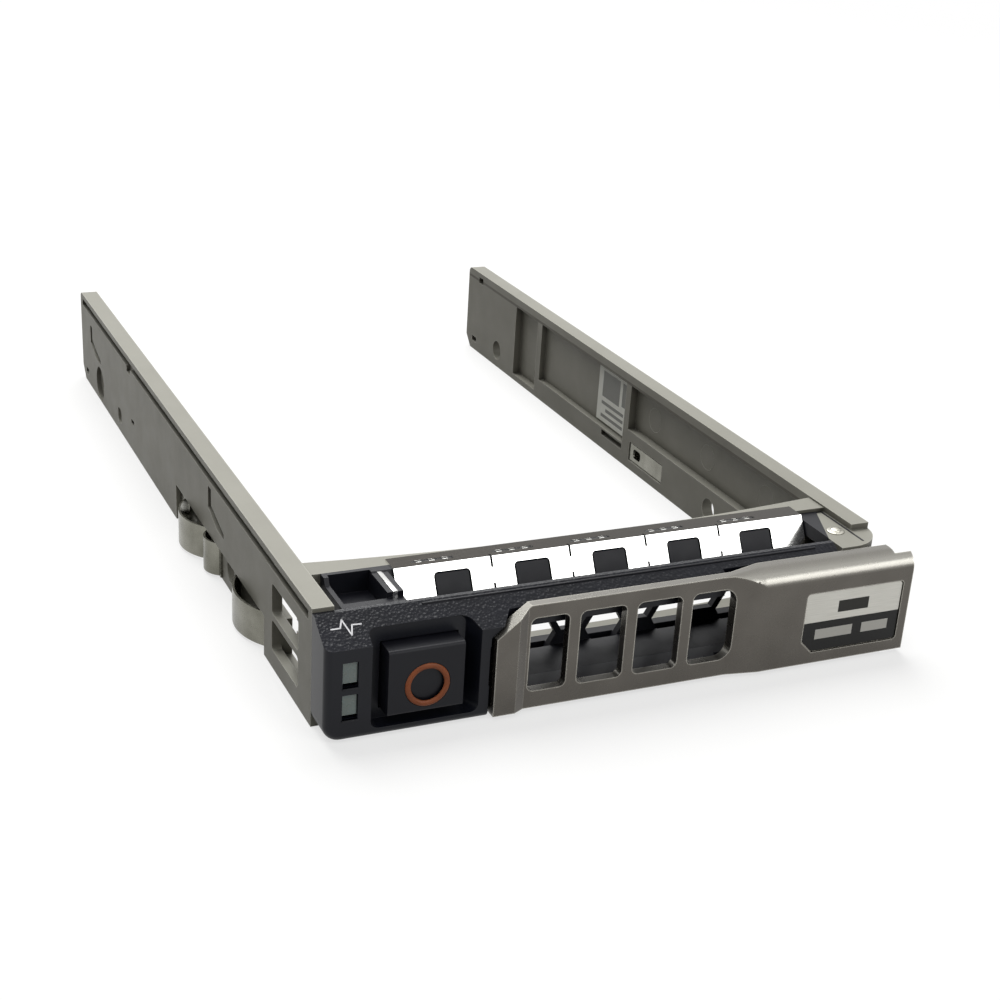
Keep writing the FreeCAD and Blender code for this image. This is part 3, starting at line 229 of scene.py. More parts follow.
# zinc die casting, sprayed warm grey: soft sheen, faint orange peel
def makeCastPaint():
    material, tree, surface, coords = startMaterial(
        "sprayedZincCasting", {"Metallic": 0.08, "IOR": 1.5, "Specular IOR Level": 0.2})
    colour = mottle(tree, coords, "#716f66", "#7d7b72", sizeMm=9.0)
    # painted light: faces that look up are painted paler, as where the overhead lamp falls on
    # them
    colour = overlay(tree, colour, "#aaa99f", upwardMask(tree, 0.6, 0.95), share=0.42)
    # painted highlights along the sharp edges
    colour = overlay(tree, colour, "#c4c4b9", edgeMask(tree, reachMm=0.25), share=0.45)
    # painted shade in grooves and corners
    colour = overlay(tree, colour, "#2c2a25", recessMask(tree, reachMm=1.6), share=0.75)
    # painted shadow: a dark band under the top flange, inside both rails
    spot = addNode(tree, "ShaderNodeSeparateXYZ", None, {0: coords}).outputs
    aside = addNode(tree, "ShaderNodeMath", {"operation": "ABSOLUTE"}, {0: spot["X"]})
    flangeShadow = addNode(tree, "ShaderNodeMath", {"operation": "MULTIPLY"},
                    {0: band(tree, spot["Z"], flangeShadowLine["base"] * mm, flangeShadowLine["top"] * mm),
                     1: band(tree, aside.outputs[0], flangeShadowLine["inner"] * mm,
                             flangeShadowLine["outer"] * mm)})
    colour = overlay(tree, colour, "#39342a", flangeShadow.outputs[0], share=0.8)
    feedSurface(tree, surface, colour, wander(tree, coords, 0.42, 0.56, sizeMm=3.0),
                fineRelief(tree, coords, sizeMm=0.5, detail=4.0,
                           strength=0.25, depthMm=0.02))
    return material


# gunmetal lacquer over a casting: metal flake seen through a satin coat, the flake drawn
# coarser than it is so that it shows
def makeHandlePaint():
    material, tree, surface, coords = startMaterial(
        "gunmetalLacquer", {"Metallic": 0.8, "Coat Weight": 0.35, "Coat Roughness": 0.14})
    colour = mottle(tree, coords, "#524e48", "#5c5852", sizeMm=6.0)
    # painted highlight along the rounded crest, and a dimmer painted light on the flat top behind
    # it
    colour = overlay(tree, colour, "#b7b5ad", upwardMask(tree, 0.2, 0.55), share=0.7)
    colour = overlay(tree, colour, "#6b6862", upwardMask(tree, 0.75, 0.97), share=0.8)
    # painted highlights along the sharp edges
    colour = overlay(tree, colour, "#c9c6bc", edgeMask(tree, reachMm=0.25), share=0.75)
    feedSurface(tree, surface, colour, wander(tree, coords, 0.24, 0.31, sizeMm=2.0),
                fineRelief(tree, coords, sizeMm=0.18, detail=2.0,
                           strength=0.08, depthMm=0.01))
    return material


# the leather grain on so small a moulding, and the height above which it starts, in mm
bezelGrain = {"cell": 0.36, "wrinkle": 0.55, "deep": 0.06, "above": 10.5}


# moulded black ABS whose sloping cap is eroded to a leather grain; the front face stays smooth
def makeBezelPlastic():
    material, tree, surface, coords = startMaterial(
        "grainedAbsMoulding", {"IOR": 1.54, "Specular IOR Level": 0.22})
    cells = addNode(tree, "ShaderNodeTexVoronoi",
                    {"feature": "SMOOTH_F1", "Scale": 1 / (bezelGrain["cell"] * mm),
                     "Smoothness": 0.35}, {"Vector": coords})
    wrinkle = addNode(tree, "ShaderNodeTexNoise",
                      {"Scale": 1 / (bezelGrain["wrinkle"] * mm), "Detail": 4.0},
                      {"Vector": coords})
    relief = addNode(tree, "ShaderNodeMath", {"operation": "ADD"},
                     {0: cells.outputs["Distance"], 1: wrinkle.outputs["Fac"]})
    height = addNode(tree, "ShaderNodeSeparateXYZ", None, {0: coords}).outputs["Z"]
    high = addNode(tree, "ShaderNodeMath",
                   {"operation": "GREATER_THAN", 1: bezelGrain["above"] * mm}, {0: height})
    onCap = addNode(tree, "ShaderNodeMath", {"operation": "MULTIPLY"},
                    {0: upwardMask(tree, 0.25, 0.5), 1: high.outputs[0]}).outputs[0]
    bump = addNode(tree, "ShaderNodeBump", {"Distance": bezelGrain["deep"] * mm},
                   {"Height": relief.outputs[0], "Strength": onCap})
    rough = addNode(tree, "ShaderNodeMapRange", {"To Min": 0.36, "To Max": 0.3}, {"Value": onCap})
    feedSurface(tree, surface, mottle(tree, coords, "#0a0c13", "#11131b", sizeMm=5.0),
                rough.outputs["Result"], bump.outputs["Normal"])
    return material


# plain black ABS, spark-eroded to a fine satin, drawn coarser than it is so that it shows
def makeSmoothBlack():
    material, tree, surface, coords = startMaterial(
        "satinAbsMoulding", {"IOR": 1.54, "Specular IOR Level": 0.2})
    feedSurface(tree, surface, mottle(tree, coords, "#0a0b11", "#111218", sizeMm=7.0),
                wander(tree, coords, 0.38, 0.5, sizeMm=1.5),
                fineRelief(tree, coords, sizeMm=0.25, detail=3.0,
                           strength=0.2, depthMm=0.01))
    return material


# rolled stainless strip: mirror-like along, drawn lines across, coarser than real ones
def makeRolledSteel(name, dark, light, low, high, upwardReflection=None):
    material, tree, surface, coords = startMaterial(name, {"Metallic": 1.0})
    stretched = addNode(tree, "ShaderNodeMapping", {"Scale": (1.0, 14.0, 14.0)},
                        {"Vector": coords}).outputs["Vector"]
    colour = mottle(tree, coords, dark, light, sizeMm=4.0)
    if upwardReflection:  # painted dark brown reflection on the faces that look up
        colour = overlay(tree, colour, upwardReflection, upwardMask(tree, 0.7, 0.9))
    feedSurface(tree, surface, colour, wander(tree, stretched, low, high, sizeMm=4.0),
                fineRelief(tree, stretched, sizeMm=2.5, detail=4.0,
                           strength=0.15, depthMm=0.01))
    return material


# orange insert moulded in polypropylene: soft sheen, a little translucency
def makeOrange():
    material, tree, surface, coords = startMaterial(
        "orangePolypropylene", {"IOR": 1.49, "Specular IOR Level": 0.3, "Subsurface Weight": 0.05,
                                "Subsurface Scale": 0.5 * mm})
    feedSurface(tree, surface, mottle(tree, coords, "#7e4324", "#96512c", sizeMm=2.0),
                wander(tree, coords, 0.38, 0.5, sizeMm=1.0))
    return material


# where the light guide's painted glow starts to turn it paler and where it ends, back along y in
# mm
guideRun = {"start": -2, "end": 4}


# frosted polycarbonate light guide, grey-green at its lamp window while its lamp is off, painted
# paler further back as a glow of light shining through it
def makeLightGuide():
    material, tree, surface, coords = startMaterial(
        "frostedPolycarbonate", {"IOR": 1.585, "Subsurface Weight": 0.1,
                                 "Subsurface Scale": 1.0 * mm})
    depth = addNode(tree, "ShaderNodeSeparateXYZ", None, {0: coords}).outputs["Y"]
    away = addNode(tree, "ShaderNodeMapRange",
                   {"From Min": place(0, guideRun["start"], 0).y,
                    "From Max": place(0, guideRun["end"], 0).y},
                   {"Value": depth})
    ramp = addNode(tree, "ShaderNodeValToRGB", None, {"Fac": away.outputs["Result"]})
    for element, code in zip(ramp.color_ramp.elements, ("#6c7874", "#d6d8d3")):
        element.color = hexColour(code)
    feedSurface(tree, surface, ramp.outputs["Color"], wander(tree, coords, 0.2, 0.34, sizeMm=1.0))
    return material


# foil label under clear film: brushed silver above, black below, plain bars where print would be
def makeLabelFoil(low, high):
    material, tree, surface, coords = startMaterial(
        "printedFoil", {"Coat Weight": 0.1, "Coat Roughness": 0.12, "Specular IOR Level": 0.2})
    unit = unitBox(tree, coords, low, high)
    upper = addNode(tree, "ShaderNodeMath", {"operation": "GREATER_THAN", 1: 0.5},
                    {0: unit["Z"]}).outputs[0]
    drawn = addNode(tree, "ShaderNodeMapping", {"Scale": (1.0, 1.0, 30.0)}, {"Vector": coords})
    silver = mottle(tree, drawn.outputs["Vector"], "#c6c5bd", "#d4d2cb", sizeMm=3.0)
    field = addNode(tree, "ShaderNodeMix", {"data_type": "RGBA", 6: hexColour("#0e0e0d")},
                    {0: upper, 7: silver})
    darkBars = bars(tree, unit["X"], unit["Z"], ((0.34, 0.66, 0.62, 0.82),))
    paleBars = bars(tree, unit["X"], unit["Z"],
                    ((0.13, 0.52, 0.2, 0.37), (0.62, 0.9, 0.2, 0.37)))
    inked = overlay(tree, field.outputs[2], "#24231f", darkBars)
    bare = addNode(tree, "ShaderNodeMath", {"operation": "SUBTRACT"}, {0: upper, 1: darkBars})
    foil = addNode(tree, "ShaderNodeMath", {"operation": "MULTIPLY", 1: 0.55},
                   {0: bare.outputs[0]})
    tree.links.new(foil.outputs[0], surface.inputs["Metallic"])
    feedSurface(tree, surface, overlay(tree, inked, "#cfcdc6", paleBars),
                wander(tree, coords, 0.34, 0.44, sizeMm=2.0))
    return material


# coated paper label with grey blocks where print would be
def makeLabelPaper(low, high):
    material, tree, surface, coords = startMaterial("coatedPaper", {"IOR": 1.45})
    unit = unitBox(tree, coords, low, high)
    blocks = bars(tree, unit["Y"], unit["Z"],
                  ((0.3, 0.86, 0.46, 0.93), (0.1, 0.22, 0.5, 0.93), (0.14, 0.86, 0.32, 0.38),
                   (0.14, 0.72, 0.2, 0.26), (0.14, 0.86, 0.08, 0.14)))
    paper = mottle(tree, coords, "#d0d0c8", "#dcdcd4", sizeMm=2.0)
    feedSurface(tree, surface, overlay(tree, paper, "#74746f", blocks),
                wander(tree, coords, 0.5, 0.62, sizeMm=1.0))
    return material


# white pad-printed ink: flat and slightly rough
def makeInk():
    material, tree, surface, coords = startMaterial("whitePadInk", {"IOR": 1.5})
    feedSurface(tree, surface, mottle(tree, coords, "#d9d9dc", "#ececee", sizeMm=1.0),
                wander(tree, coords, 0.5, 0.65, sizeMm=0.6))
    return material


print("stage: materials")
castPaint = makeCastPaint()
handlePaint = makeHandlePaint()
bezelPlastic = makeBezelPlastic()
smoothBlack = makeSmoothBlack()
# the polished strip's faces that look up carry a painted dark brown reflection
brightStrip = makeRolledSteel("polishedStainlessStrip", "#dcdcd9", "#f2f2f0", 0.12, 0.24,
                              "#3f3b35")
contactSteel = makeRolledSteel("polishedContactSteel", "#dcdcd9", "#f2f2f0", 0.12, 0.24)
springStrip = makeRolledSteel("temperedSpringStrip", "#6b6a61", "#8b8a81", 0.2, 0.32)
turnedSteel = makeRolledSteel("turnedPinSteel", "#b3b1a6", "#c6c4ba", 0.25, 0.36)
orangeInsert = makeOrange()
lightGuide = makeLightGuide()
labelFoil = makeLabelFoil(*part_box("handle_label"))
labelPaper = makeLabelPaper(*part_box("rail_label"))
ink = makeInk()

finishes = {
    "frame": castPaint, "bezel": bezelPlastic, "vent_core": smoothBlack,
    "hinge_pin": turnedSteel, "handle_spring": turnedSteel, "button_spring": turnedSteel,
    "latch_spring": turnedSteel, "grounding_fingers": brightStrip,
    "rear_leaf_left": springStrip, "front_leaf_left": springStrip,
    "rear_leaf_right": springStrip, "front_leaf_right": springStrip,
    "light_pipe_upper": lightGuide, "light_pipe_lower": lightGuide,
    "rail_label": labelPaper, "handle": handlePaint, "handle_label": labelFoil,
    "release_button": smoothBlack, "button_ring": orangeInsert, "latch": smoothBlack,
}


def paint(piece, material):
    piece.data.materials.clear()
    piece.data.materials.append(material)


for nodeName, material in finishes.items():
    paint(frame["nodes"][nodeName], material)


def addPiece(name, mesh, material, body):
    piece = bpy.data.objects.new(name, mesh)
    bpy.context.scene.collection.objects.link(piece)
    paint(piece, material)
    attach(piece, body)
    return piece


# adds a piece that stands in for a solid, on its body, and hides the solid
def replaceSolid(name, mesh, material, nodeName):
    piece = addPiece(name, mesh, material, frame["nodes"][nodeName]["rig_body"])
    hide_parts(nodeName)
    return piece


# a copy of a solid's mesh with its loose triangles joined, open for changes
def openCopy(nodeName):
    mesh = frame["nodes"][nodeName].data.copy()
    work = bmesh.new()
    work.from_mesh(mesh)
    bmesh.ops.remove_doubles(work, verts=work.verts, dist=weldReach)
    return mesh, work


# the mesh of a draft object once its modifiers have run; the draft goes
def bakeDraft(draft):
    depsgraph = bpy.context.evaluated_depsgraph_get()
    mesh = bpy.data.meshes.new_from_object(draft.evaluated_get(depsgraph))
    draft.modifiers.clear()
    bpy.data.objects.remove(draft)
    return mesh


# moulded and cast pieces get their small edge radius, in mm, on a copy of the solid
edgeRadii = {"frame": 0.16, "bezel": 0.2, "handle": 0.18, "release_button": 0.2,
             "vent_core": 0.1}
# angles in degrees: what counts as flat, what shades smooth, and what is rounded
edgeAngles = {"flat": 0.6, "smooth": 28, "rounded": 32}


def softenEdges(nodeName, radiusMm):
    mesh, work = openCopy(nodeName)
    bmesh.ops.dissolve_limit(work, angle_limit=math.radians(edgeAngles["flat"]),
                             verts=work.verts, edges=work.edges)
    for face in work.faces:
        face.smooth = True
    for edge in work.edges:
        if len(edge.link_faces) == 2:
            edge.smooth = edge.calc_face_angle(0) < math.radians(edgeAngles["smooth"])
    work.to_mesh(mesh)
    work.free()
    draft = bpy.data.objects.new(nodeName + "Draft", mesh)
    bpy.context.scene.collection.objects.link(draft)
    bevel = draft.modifiers.new("edgeRadius", "BEVEL")
    bevel.width = radiusMm * mm
    bevel.segments = 2
    bevel.limit_method = "ANGLE"
    bevel.angle_limit = math.radians(edgeAngles["rounded"])
    bevel.harden_normals = True
    bevel.use_clamp_overlap = True
    rounded = bakeDraft(draft)
    replaceSolid(nodeName + "Dressed", rounded, finishes[nodeName], nodeName)
    print("  softened", nodeName, len(rounded.polygons), "faces")


print("stage: edge radii")
for nodeName, radius in edgeRadii.items():
    softenEdges(nodeName, radius)


# adds a box with rounded edges to a mesh under way
def addBox(work, low, high, radiusMm, segments=2):
    cube = bmesh.ops.create_cube(work, size=1.0)
    for vertex in cube["verts"]:
        for axis in range(3):
            vertex.co[axis] = low[axis] if vertex.co[axis] < 0 else high[axis]
    edges = {edge for vertex in cube["verts"] for edge in vertex.link_edges}
    bmesh.ops.bevel(work, geom=list(edges), offset=radiusMm * mm, segments=segments,
                    profile=0.5, affect="EDGES")


def finishMesh(work, name, smooth=True):
    bmesh.ops.recalc_face_normals(work, faces=work.faces)
    mesh = bpy.data.meshes.new(name)
    for face in work.faces:
        face.smooth = smooth
    work.to_mesh(mesh)
    work.free()
    return mesh


# closes the wall between two loops of as many corners
def bridgeLoops(work, first, second):
    for index in range(len(first)):
        after = (index + 1) % len(first)
        work.faces.new((first[index], first[after], second[after], second[index]))


# a solid between a lower and an upper outline
def addPrism(work, low, high):
    work.faces.new(high)
    work.faces.new(reversed(low))
    bridgeLoops(work, low, high)


# a small pulse line printed on the bezel's slope, which falls from slopeTop to slopeBrow
pulseMark = {"left": -36.3, "right": -32.7, "downSlope": 2.2, "thick": 0.02, "wide": 0.17,
             "lift": 0.002, "slopeTop": (-0.4, 14.5), "slopeBrow": (-4.6, 11.9),
             "steps": ((0.0, 0.1), (0.3, 0.1), (0.42, 1.15), (0.6, -0.95), (0.7, 0.35),
                       (1.0, 0.3))}


def makePulseMark():
    size = pulseMark
    top, brow = place(0, *size["slopeTop"]), place(0, *size["slopeBrow"])
    down = (brow - top).normalized()
    outward = down.cross(Vector((1, 0, 0))).normalized()
    outward = outward if outward.z > 0 else -outward
    length = size["right"] - size["left"]
    start = top + down * size["downSlope"] * mm
    points = [Vector(((size["left"] + share * length) * mm, start.y, start.z)) - down * rise * mm
              for share, rise in size["steps"]]
    work = bmesh.new()
    for first, second in zip(points, points[1:]):
        along = (second - first).normalized()
        side = along.cross(outward).normalized() * size["wide"] / 2 * mm
        reach = along * size["wide"] / 4 * mm
        low = [work.verts.new(spot + outward * size["lift"] * mm) for spot in
               (first - reach - side, second + reach - side, second + reach + side,
                first - reach + side)]
        high = [work.verts.new(vertex.co + outward * size["thick"] * mm) for vertex in low]
        addPrism(work, low, high)
    addPiece("pulseMark", finishMesh(work, "pulseMark", smooth=False), ink, "carrier")


# the orange insert's ring, rounder and slimmer than its solid
ringShape = {"outer": 2.74, "width": 0.72, "proud": 0.22, "around": 96, "section": 12}


def makeButtonRing():
    size = ringShape
    low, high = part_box("button_ring")
    middle = (low + high) / 2
    half = size["width"] / 2
    work = bmesh.new()
    rows = []
    for turn in range(size["around"]):
        angle = 2 * math.pi * turn / size["around"]
        row = []
        for step in range(size["section"]):
            bend = 2 * math.pi * step / size["section"]
            reach = size["outer"] - half + half * math.cos(bend)
            depth = size["proud"] * math.sin(bend)
            row.append(work.verts.new((middle.x + reach * math.cos(angle) * mm,
                                       low.y + (size["proud"] - depth) * mm,
                                       middle.z + reach * math.sin(angle) * mm)))
        rows.append(row)
    for turn, row in enumerate(rows):
        bridgeLoops(work, row, rows[(turn + 1) % len(rows)])
    replaceSolid("buttonRing", finishMesh(work, "buttonRing"), orangeInsert, "button_ring")


# the hinge pin's visible end: a flat flange with a small polished dome on it
pinEnd = {"shaft": 0.79, "flange": 1.12, "dome": 0.72, "flangeTall": 0.14, "domeTall": 0.3,
          "headTall": 0.45, "rimShare": 0.7, "rimBevel": 0.08, "domeFoot": 0.06,
          "around": 48, "domeSteps": 7}


def makeHingePin():
    size = pinEnd
    low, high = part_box("hinge_pin")
    middle = (low + high) / 2
    seat = high.z - size["headTall"] * mm
    rows = [(size["shaft"], low.z), (size["shaft"], seat), (size["flange"], seat),
            (size["flange"], seat + size["flangeTall"] * size["rimShare"] * mm),
            (size["flange"] - size["rimBevel"], seat + size["flangeTall"] * mm),
            (size["dome"] + size["domeFoot"], seat + size["flangeTall"] * mm)]
    for step in range(size["domeSteps"]):
        bend = math.pi / 2 * step / size["domeSteps"]
        rows.append((size["dome"] * math.cos(bend),
                     seat + (size["flangeTall"] + size["domeTall"] * math.sin(bend)) * mm))
    angles = [2 * math.pi * turn / size["around"] for turn in range(size["around"])]
    work = bmesh.new()
    rings = [[work.verts.new((middle.x + radius * mm * math.cos(angle),
                              middle.y + radius * mm * math.sin(angle), height))
              for angle in angles] for radius, height in rows]
    for lower, upper in zip(rings, rings[1:]):
        bridgeLoops(work, lower, upper)
    work.faces.new(reversed(rings[0]))
    work.faces.new(rings[-1])
    replaceSolid("hingePin", finishMesh(work, "hingePin"), turnedSteel, "hinge_pin")


# a thin moulded rib along the cap's rear edge, which catches the light
capRib = {"left": -25.0, "right": 27.5, "front": -0.9, "back": -0.62, "base": 14.1,
          "top": 14.42, "radius": 0.08}


def makeCapRib():
    size = capRib
    work = bmesh.new()
    addBox(work, place(size["left"], size["front"], size["base"]),
           place(size["right"], size["back"], size["top"]), size["radius"], segments=3)
    addPiece("capRib", finishMesh(work, "capRib"), smoothBlack, "carrier")


# moulded lips under the two lamp windows, which catch the light
lampLip = {"side": 0.12, "proud": 0.14, "rooted": 0.3, "tall": 0.22, "radius": 0.06,
           "slot": 0.5}


def makeLampLips():
    size = lampLip
    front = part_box("bezel")[0].y
    work = bmesh.new()
    for pipe in ("light_pipe_upper", "light_pipe_lower"):
        low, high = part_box(pipe)
        base = low.z - size["slot"] * mm
        addBox(work, (low.x - size["side"] * mm, front - size["proud"] * mm,
                      base - size["tall"] * mm),
               (high.x + size["side"] * mm, front + size["rooted"] * mm, base),
               size["radius"])
    addPiece("lampLips", finishMesh(work, "lampLips"), smoothBlack, "carrier")


# the bright clip on the core's post, left of the fingers
springClip = {"left": -27.35, "right": -26.75, "front": 2.28, "thick": 0.13, "base": 12.2,
              "top": 14.6, "reach": 5.4, "radius": 0.04}


def makeSpringClip():
    size = springClip
    work = bmesh.new()
    addBox(work, place(size["left"], size["front"], size["base"]),
           place(size["right"], size["front"] + size["thick"], size["top"] + size["thick"]),
           size["radius"])
    addBox(work, place(size["left"], size["front"], size["top"]),
           place(size["right"], size["front"] + size["reach"], size["top"] + size["thick"]),
           size["radius"])
    addPiece("springClip", finishMesh(work, "springClip"), contactSteel, "carrier")


# black sheets round the top ear, laid as painted shade: a corner plate, and thin lips along its
# two far sides as painted shadow gaps
earShadowGaps = {"outline": (((30.78, 1.2), (30.78, 9.0), (34.0, 9.0)),
                        ((30.9, 8.72), (30.9, 9.0), (34.85, 9.0), (34.85, 8.72)),
                        ((34.62, -0.6), (34.62, 8.8), (34.88, 8.8), (34.88, -0.6))),
            "earTop": 14.2, "proud": (0.1, 0.04, 0.04), "deep": (1.6, 0.2, 0.2)}


def makeEarShadowGaps():
    size = earShadowGaps
    work = bmesh.new()
    for outline, proud, deep in zip(size["outline"], size["proud"], size["deep"]):
        low = [work.verts.new(place(x, y, size["earTop"] - deep)) for x, y in outline]
        high = [work.verts.new(place(x, y, size["earTop"] + proud)) for x, y in outline]
        addPrism(work, low, high)
    addPiece("earShadowGaps", finishMesh(work, "earShadowGaps", smooth=False), smoothBlack, "carrier")


# the two return coils, which in the real caddy shorten as the button goes in and the latch
# slides; an axis and the end that stays, low or high, are given by number
returnSprings = {
    "button_spring": {"name": "buttonReturnSpring", "joint": "button_press", "axis": 1,
                      "fixedEnd": 1, "travel": 1.5},
    "latch_spring": {"name": "latchReturnSpring", "joint": "latch_slide", "axis": 0,
                     "fixedEnd": 0, "travel": 1.5},
}


def makeReturnSprings():
    for nodeName, spring in returnSprings.items():
        mesh, work = openCopy(nodeName)
        for face in work.faces:
            face.smooth = True
        work.to_mesh(mesh)
        work.free()
        piece = replaceSolid(spring["name"], mesh, turnedSteel, nodeName)
        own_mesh(piece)


# runs a node group that makes its own geometry, and keeps the result as one mesh
def bakeNodes(name, group, values):
    draft = bpy.data.objects.new(name + "Draft", bpy.data.meshes.new(name + "Seed"))
    bpy.context.scene.collection.objects.link(draft)
    modifier = draft.modifiers.new(name, "NODES")
    modifier.node_group = group
    for item in group.interface.items_tree:
        if item.item_type == "SOCKET" and item.in_out == "INPUT" and item.name in values:
            modifier[item.identifier] = values[item.name]
    draft.update_tag()
    mesh = bakeDraft(draft)
    mesh.name = name
    return mesh


# every group also takes the material that its mesh ends with
def startGroup(name, inputs):
    group = bpy.data.node_groups.new(name, "GeometryNodeTree")
    group.interface.new_socket("Geometry", in_out="OUTPUT", socket_type="NodeSocketGeometry")
    group.interface.new_socket("Finish", in_out="INPUT", socket_type="NodeSocketMaterial")
    for label, kind in inputs.items():
        group.interface.new_socket(label, in_out="INPUT", socket_type=kind)
    return group, addNode(group, "NodeGroupInput").outputs


def endGroup(group, geometry, finish):
    real = addNode(group, "GeometryNodeRealizeInstances", None, {"Geometry": geometry})
    painted = addNode(group, "GeometryNodeSetMaterial", None,
                      {"Geometry": real.outputs["Geometry"], "Material": finish})
    addNode(group, "NodeGroupOutput", None, {"Geometry": painted.outputs["Geometry"]})


# the slots in the fingers' top: black plates as painted shade in their openings, and bright
# contact tongues lying in them
contactSlots = {"slots": 5, "margin": 2.0, "offset": 1.9, "middleY": 8.5, "topZ": 14.75}
slotRows = {
    "slotShadowPlates": {"teeth": 1, "toothPitch": 0.0, "wide": 5.4, "deep": 0.95, "tall": 0.03,
                   "finish": smoothBlack, "slot": "smooth_black"},
    "contactTeeth": {"teeth": 3, "toothPitch": 1.7, "wide": 0.7, "deep": 0.16, "tall": 0.1,
                     "finish": contactSteel, "slot": "bright_steel"},
}


def makeContactSlots():
    size = contactSlots
    low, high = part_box("grounding_fingers")
    pitch = (high.x - low.x - 2 * size["margin"] * mm) / size["slots"]
    firstSlot = (low.x + high.x - (size["slots"] - 1) * pitch) / 2 - size["offset"] * mm
    group, given = startGroup("contactSlots", {
        "Slots": "NodeSocketInt", "Teeth": "NodeSocketInt", "Slot Pitch": "NodeSocketVector",
        "Tooth Pitch": "NodeSocketVector", "First Slot": "NodeSocketVector",
        "Tooth Size": "NodeSocketVector", "Row Start": "NodeSocketVector"})
    tooth = addNode(group, "GeometryNodeMeshCube", None, {"Size": given["Tooth Size"]})
    row = addNode(group, "GeometryNodeMeshLine", None,
                  {"Count": given["Teeth"], "Start Location": given["Row Start"],
                   "Offset": given["Tooth Pitch"]})
    rowOfTeeth = addNode(group, "GeometryNodeInstanceOnPoints", None,
                         {"Points": row.outputs["Mesh"], "Instance": tooth.outputs["Mesh"]})
    rows = addNode(group, "GeometryNodeMeshLine", None,
                   {"Count": given["Slots"], "Start Location": given["First Slot"],
                    "Offset": given["Slot Pitch"]})
    allTeeth = addNode(group, "GeometryNodeInstanceOnPoints", None,
                       {"Points": rows.outputs["Mesh"],
                        "Instance": rowOfTeeth.outputs["Instances"]})
    endGroup(group, allTeeth.outputs["Instances"], given["Finish"])
    for name, teeth in slotRows.items():
        start = place(0, size["middleY"], size["topZ"] + teeth["tall"] / 2)
        mesh = bakeNodes(name, group, {
            "Finish": teeth["finish"], "Slots": size["slots"], "Teeth": teeth["teeth"],
            "Slot Pitch": (pitch, 0, 0),
            "Tooth Pitch": (teeth["toothPitch"] * mm, 0, 0),
            "First Slot": (firstSlot, start.y, start.z),
            "Tooth Size": (teeth["wide"] * mm, teeth["deep"] * mm, teeth["tall"] * mm),
            "Row Start": ((1 - teeth["teeth"]) / 2 * teeth["toothPitch"] * mm, 0, 0)})
        addPiece(name, mesh, teeth["finish"], "carrier")


# faint rings left by the mould's ejector pins on the rails' inner pockets
ejectorMarks = {"count": 3, "first": 24.0, "pitch": 16.0, "height": 9.7, "radius": 1.9,
                "wire": 0.045, "behindLabel": 0.325, "sink": 0.02}


def makeEjectorMarks():
    size = ejectorMarks
    group, given = startGroup("ejectorMarks", {
        "Count": "NodeSocketInt", "First": "NodeSocketVector", "Pitch": "NodeSocketVector",
        "Other Rail": "NodeSocketVector", "Radius": "NodeSocketFloat",
        "Wire": "NodeSocketFloat"})
    ring = addNode(group, "GeometryNodeCurvePrimitiveCircle", {"Resolution": 40},
                   {"Radius": given["Radius"]})
    section = addNode(group, "GeometryNodeCurvePrimitiveCircle", {"Resolution": 8},
                      {"Radius": given["Wire"]})
    torus = addNode(group, "GeometryNodeCurveToMesh", None,
                    {"Curve": ring.outputs["Curve"], "Profile Curve": section.outputs["Curve"]})
    upright = addNode(group, "GeometryNodeTransform", {"Rotation": (0, math.pi / 2, 0)},
                      {"Geometry": torus.outputs["Mesh"]})
    line = addNode(group, "GeometryNodeMeshLine", None,
                   {"Count": given["Count"], "Start Location": given["First"],
                    "Offset": given["Pitch"]})
    marks = addNode(group, "GeometryNodeInstanceOnPoints", None,
                    {"Points": line.outputs["Mesh"], "Instance": upright.outputs["Geometry"]})
    across = addNode(group, "GeometryNodeTransform", None,
                     {"Geometry": marks.outputs["Instances"], "Translation": given["Other Rail"]})
    both = addNode(group, "GeometryNodeJoinGeometry")
    group.links.new(marks.outputs["Instances"], both.inputs[0])
    group.links.new(across.outputs["Geometry"], both.inputs[0])
    endGroup(group, both.outputs["Geometry"], given["Finish"])
    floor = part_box("rail_label")[1].x / mm + size["behindLabel"] + size["sink"]
    first = place(floor, size["first"], size["height"])
    mesh = bakeNodes("ejectorMarks", group, {
        "Finish": castPaint, "Count": size["count"], "First": tuple(first),
        "Pitch": (0, size["pitch"] * mm, 0), "Other Rail": (-2 * floor * mm, 0, 0),
        "Radius": size["radius"] * mm, "Wire": size["wire"] * mm})
    addPiece("ejectorMarks", mesh, castPaint, "carrier")


print("stage: small pieces")
makePulseMark()
makeButtonRing()
makeHingePin()
makeCapRib()
makeLampLips()
makeSpringClip()
makeEarShadowGaps()
makeReturnSprings()
makeContactSlots()
makeEjectorMarks()


# floor is the colour that shows and bounce the one that lights the caddy; lift is how far the
# floor glows white under the caddy, rising from near on and whole at far, in metres
room = {"floor": "#f6f6f4", "bounce": "#70706e", "lift": 0.66, "near": 0.2, "far": 0.7,
        "air": 0.07, "half": 3.0, "drop": 0.00005}


# one for the rays that see the background: straight, mirrored and through glass
def backgroundRays(tree):
    path = addNode(tree, "ShaderNodeLightPath").outputs
    either = addNode(tree, "ShaderNodeMath", {"operation": "MAXIMUM"},
                     {0: path["Is Camera Ray"], 1: path["Is Glossy Ray"]})
    anyOfThem = addNode(tree, "ShaderNodeMath", {"operation": "MAXIMUM"},
                        {0: either.outputs[0], 1: path["Is Transmission Ray"]})
    return anyOfThem.outputs[0]


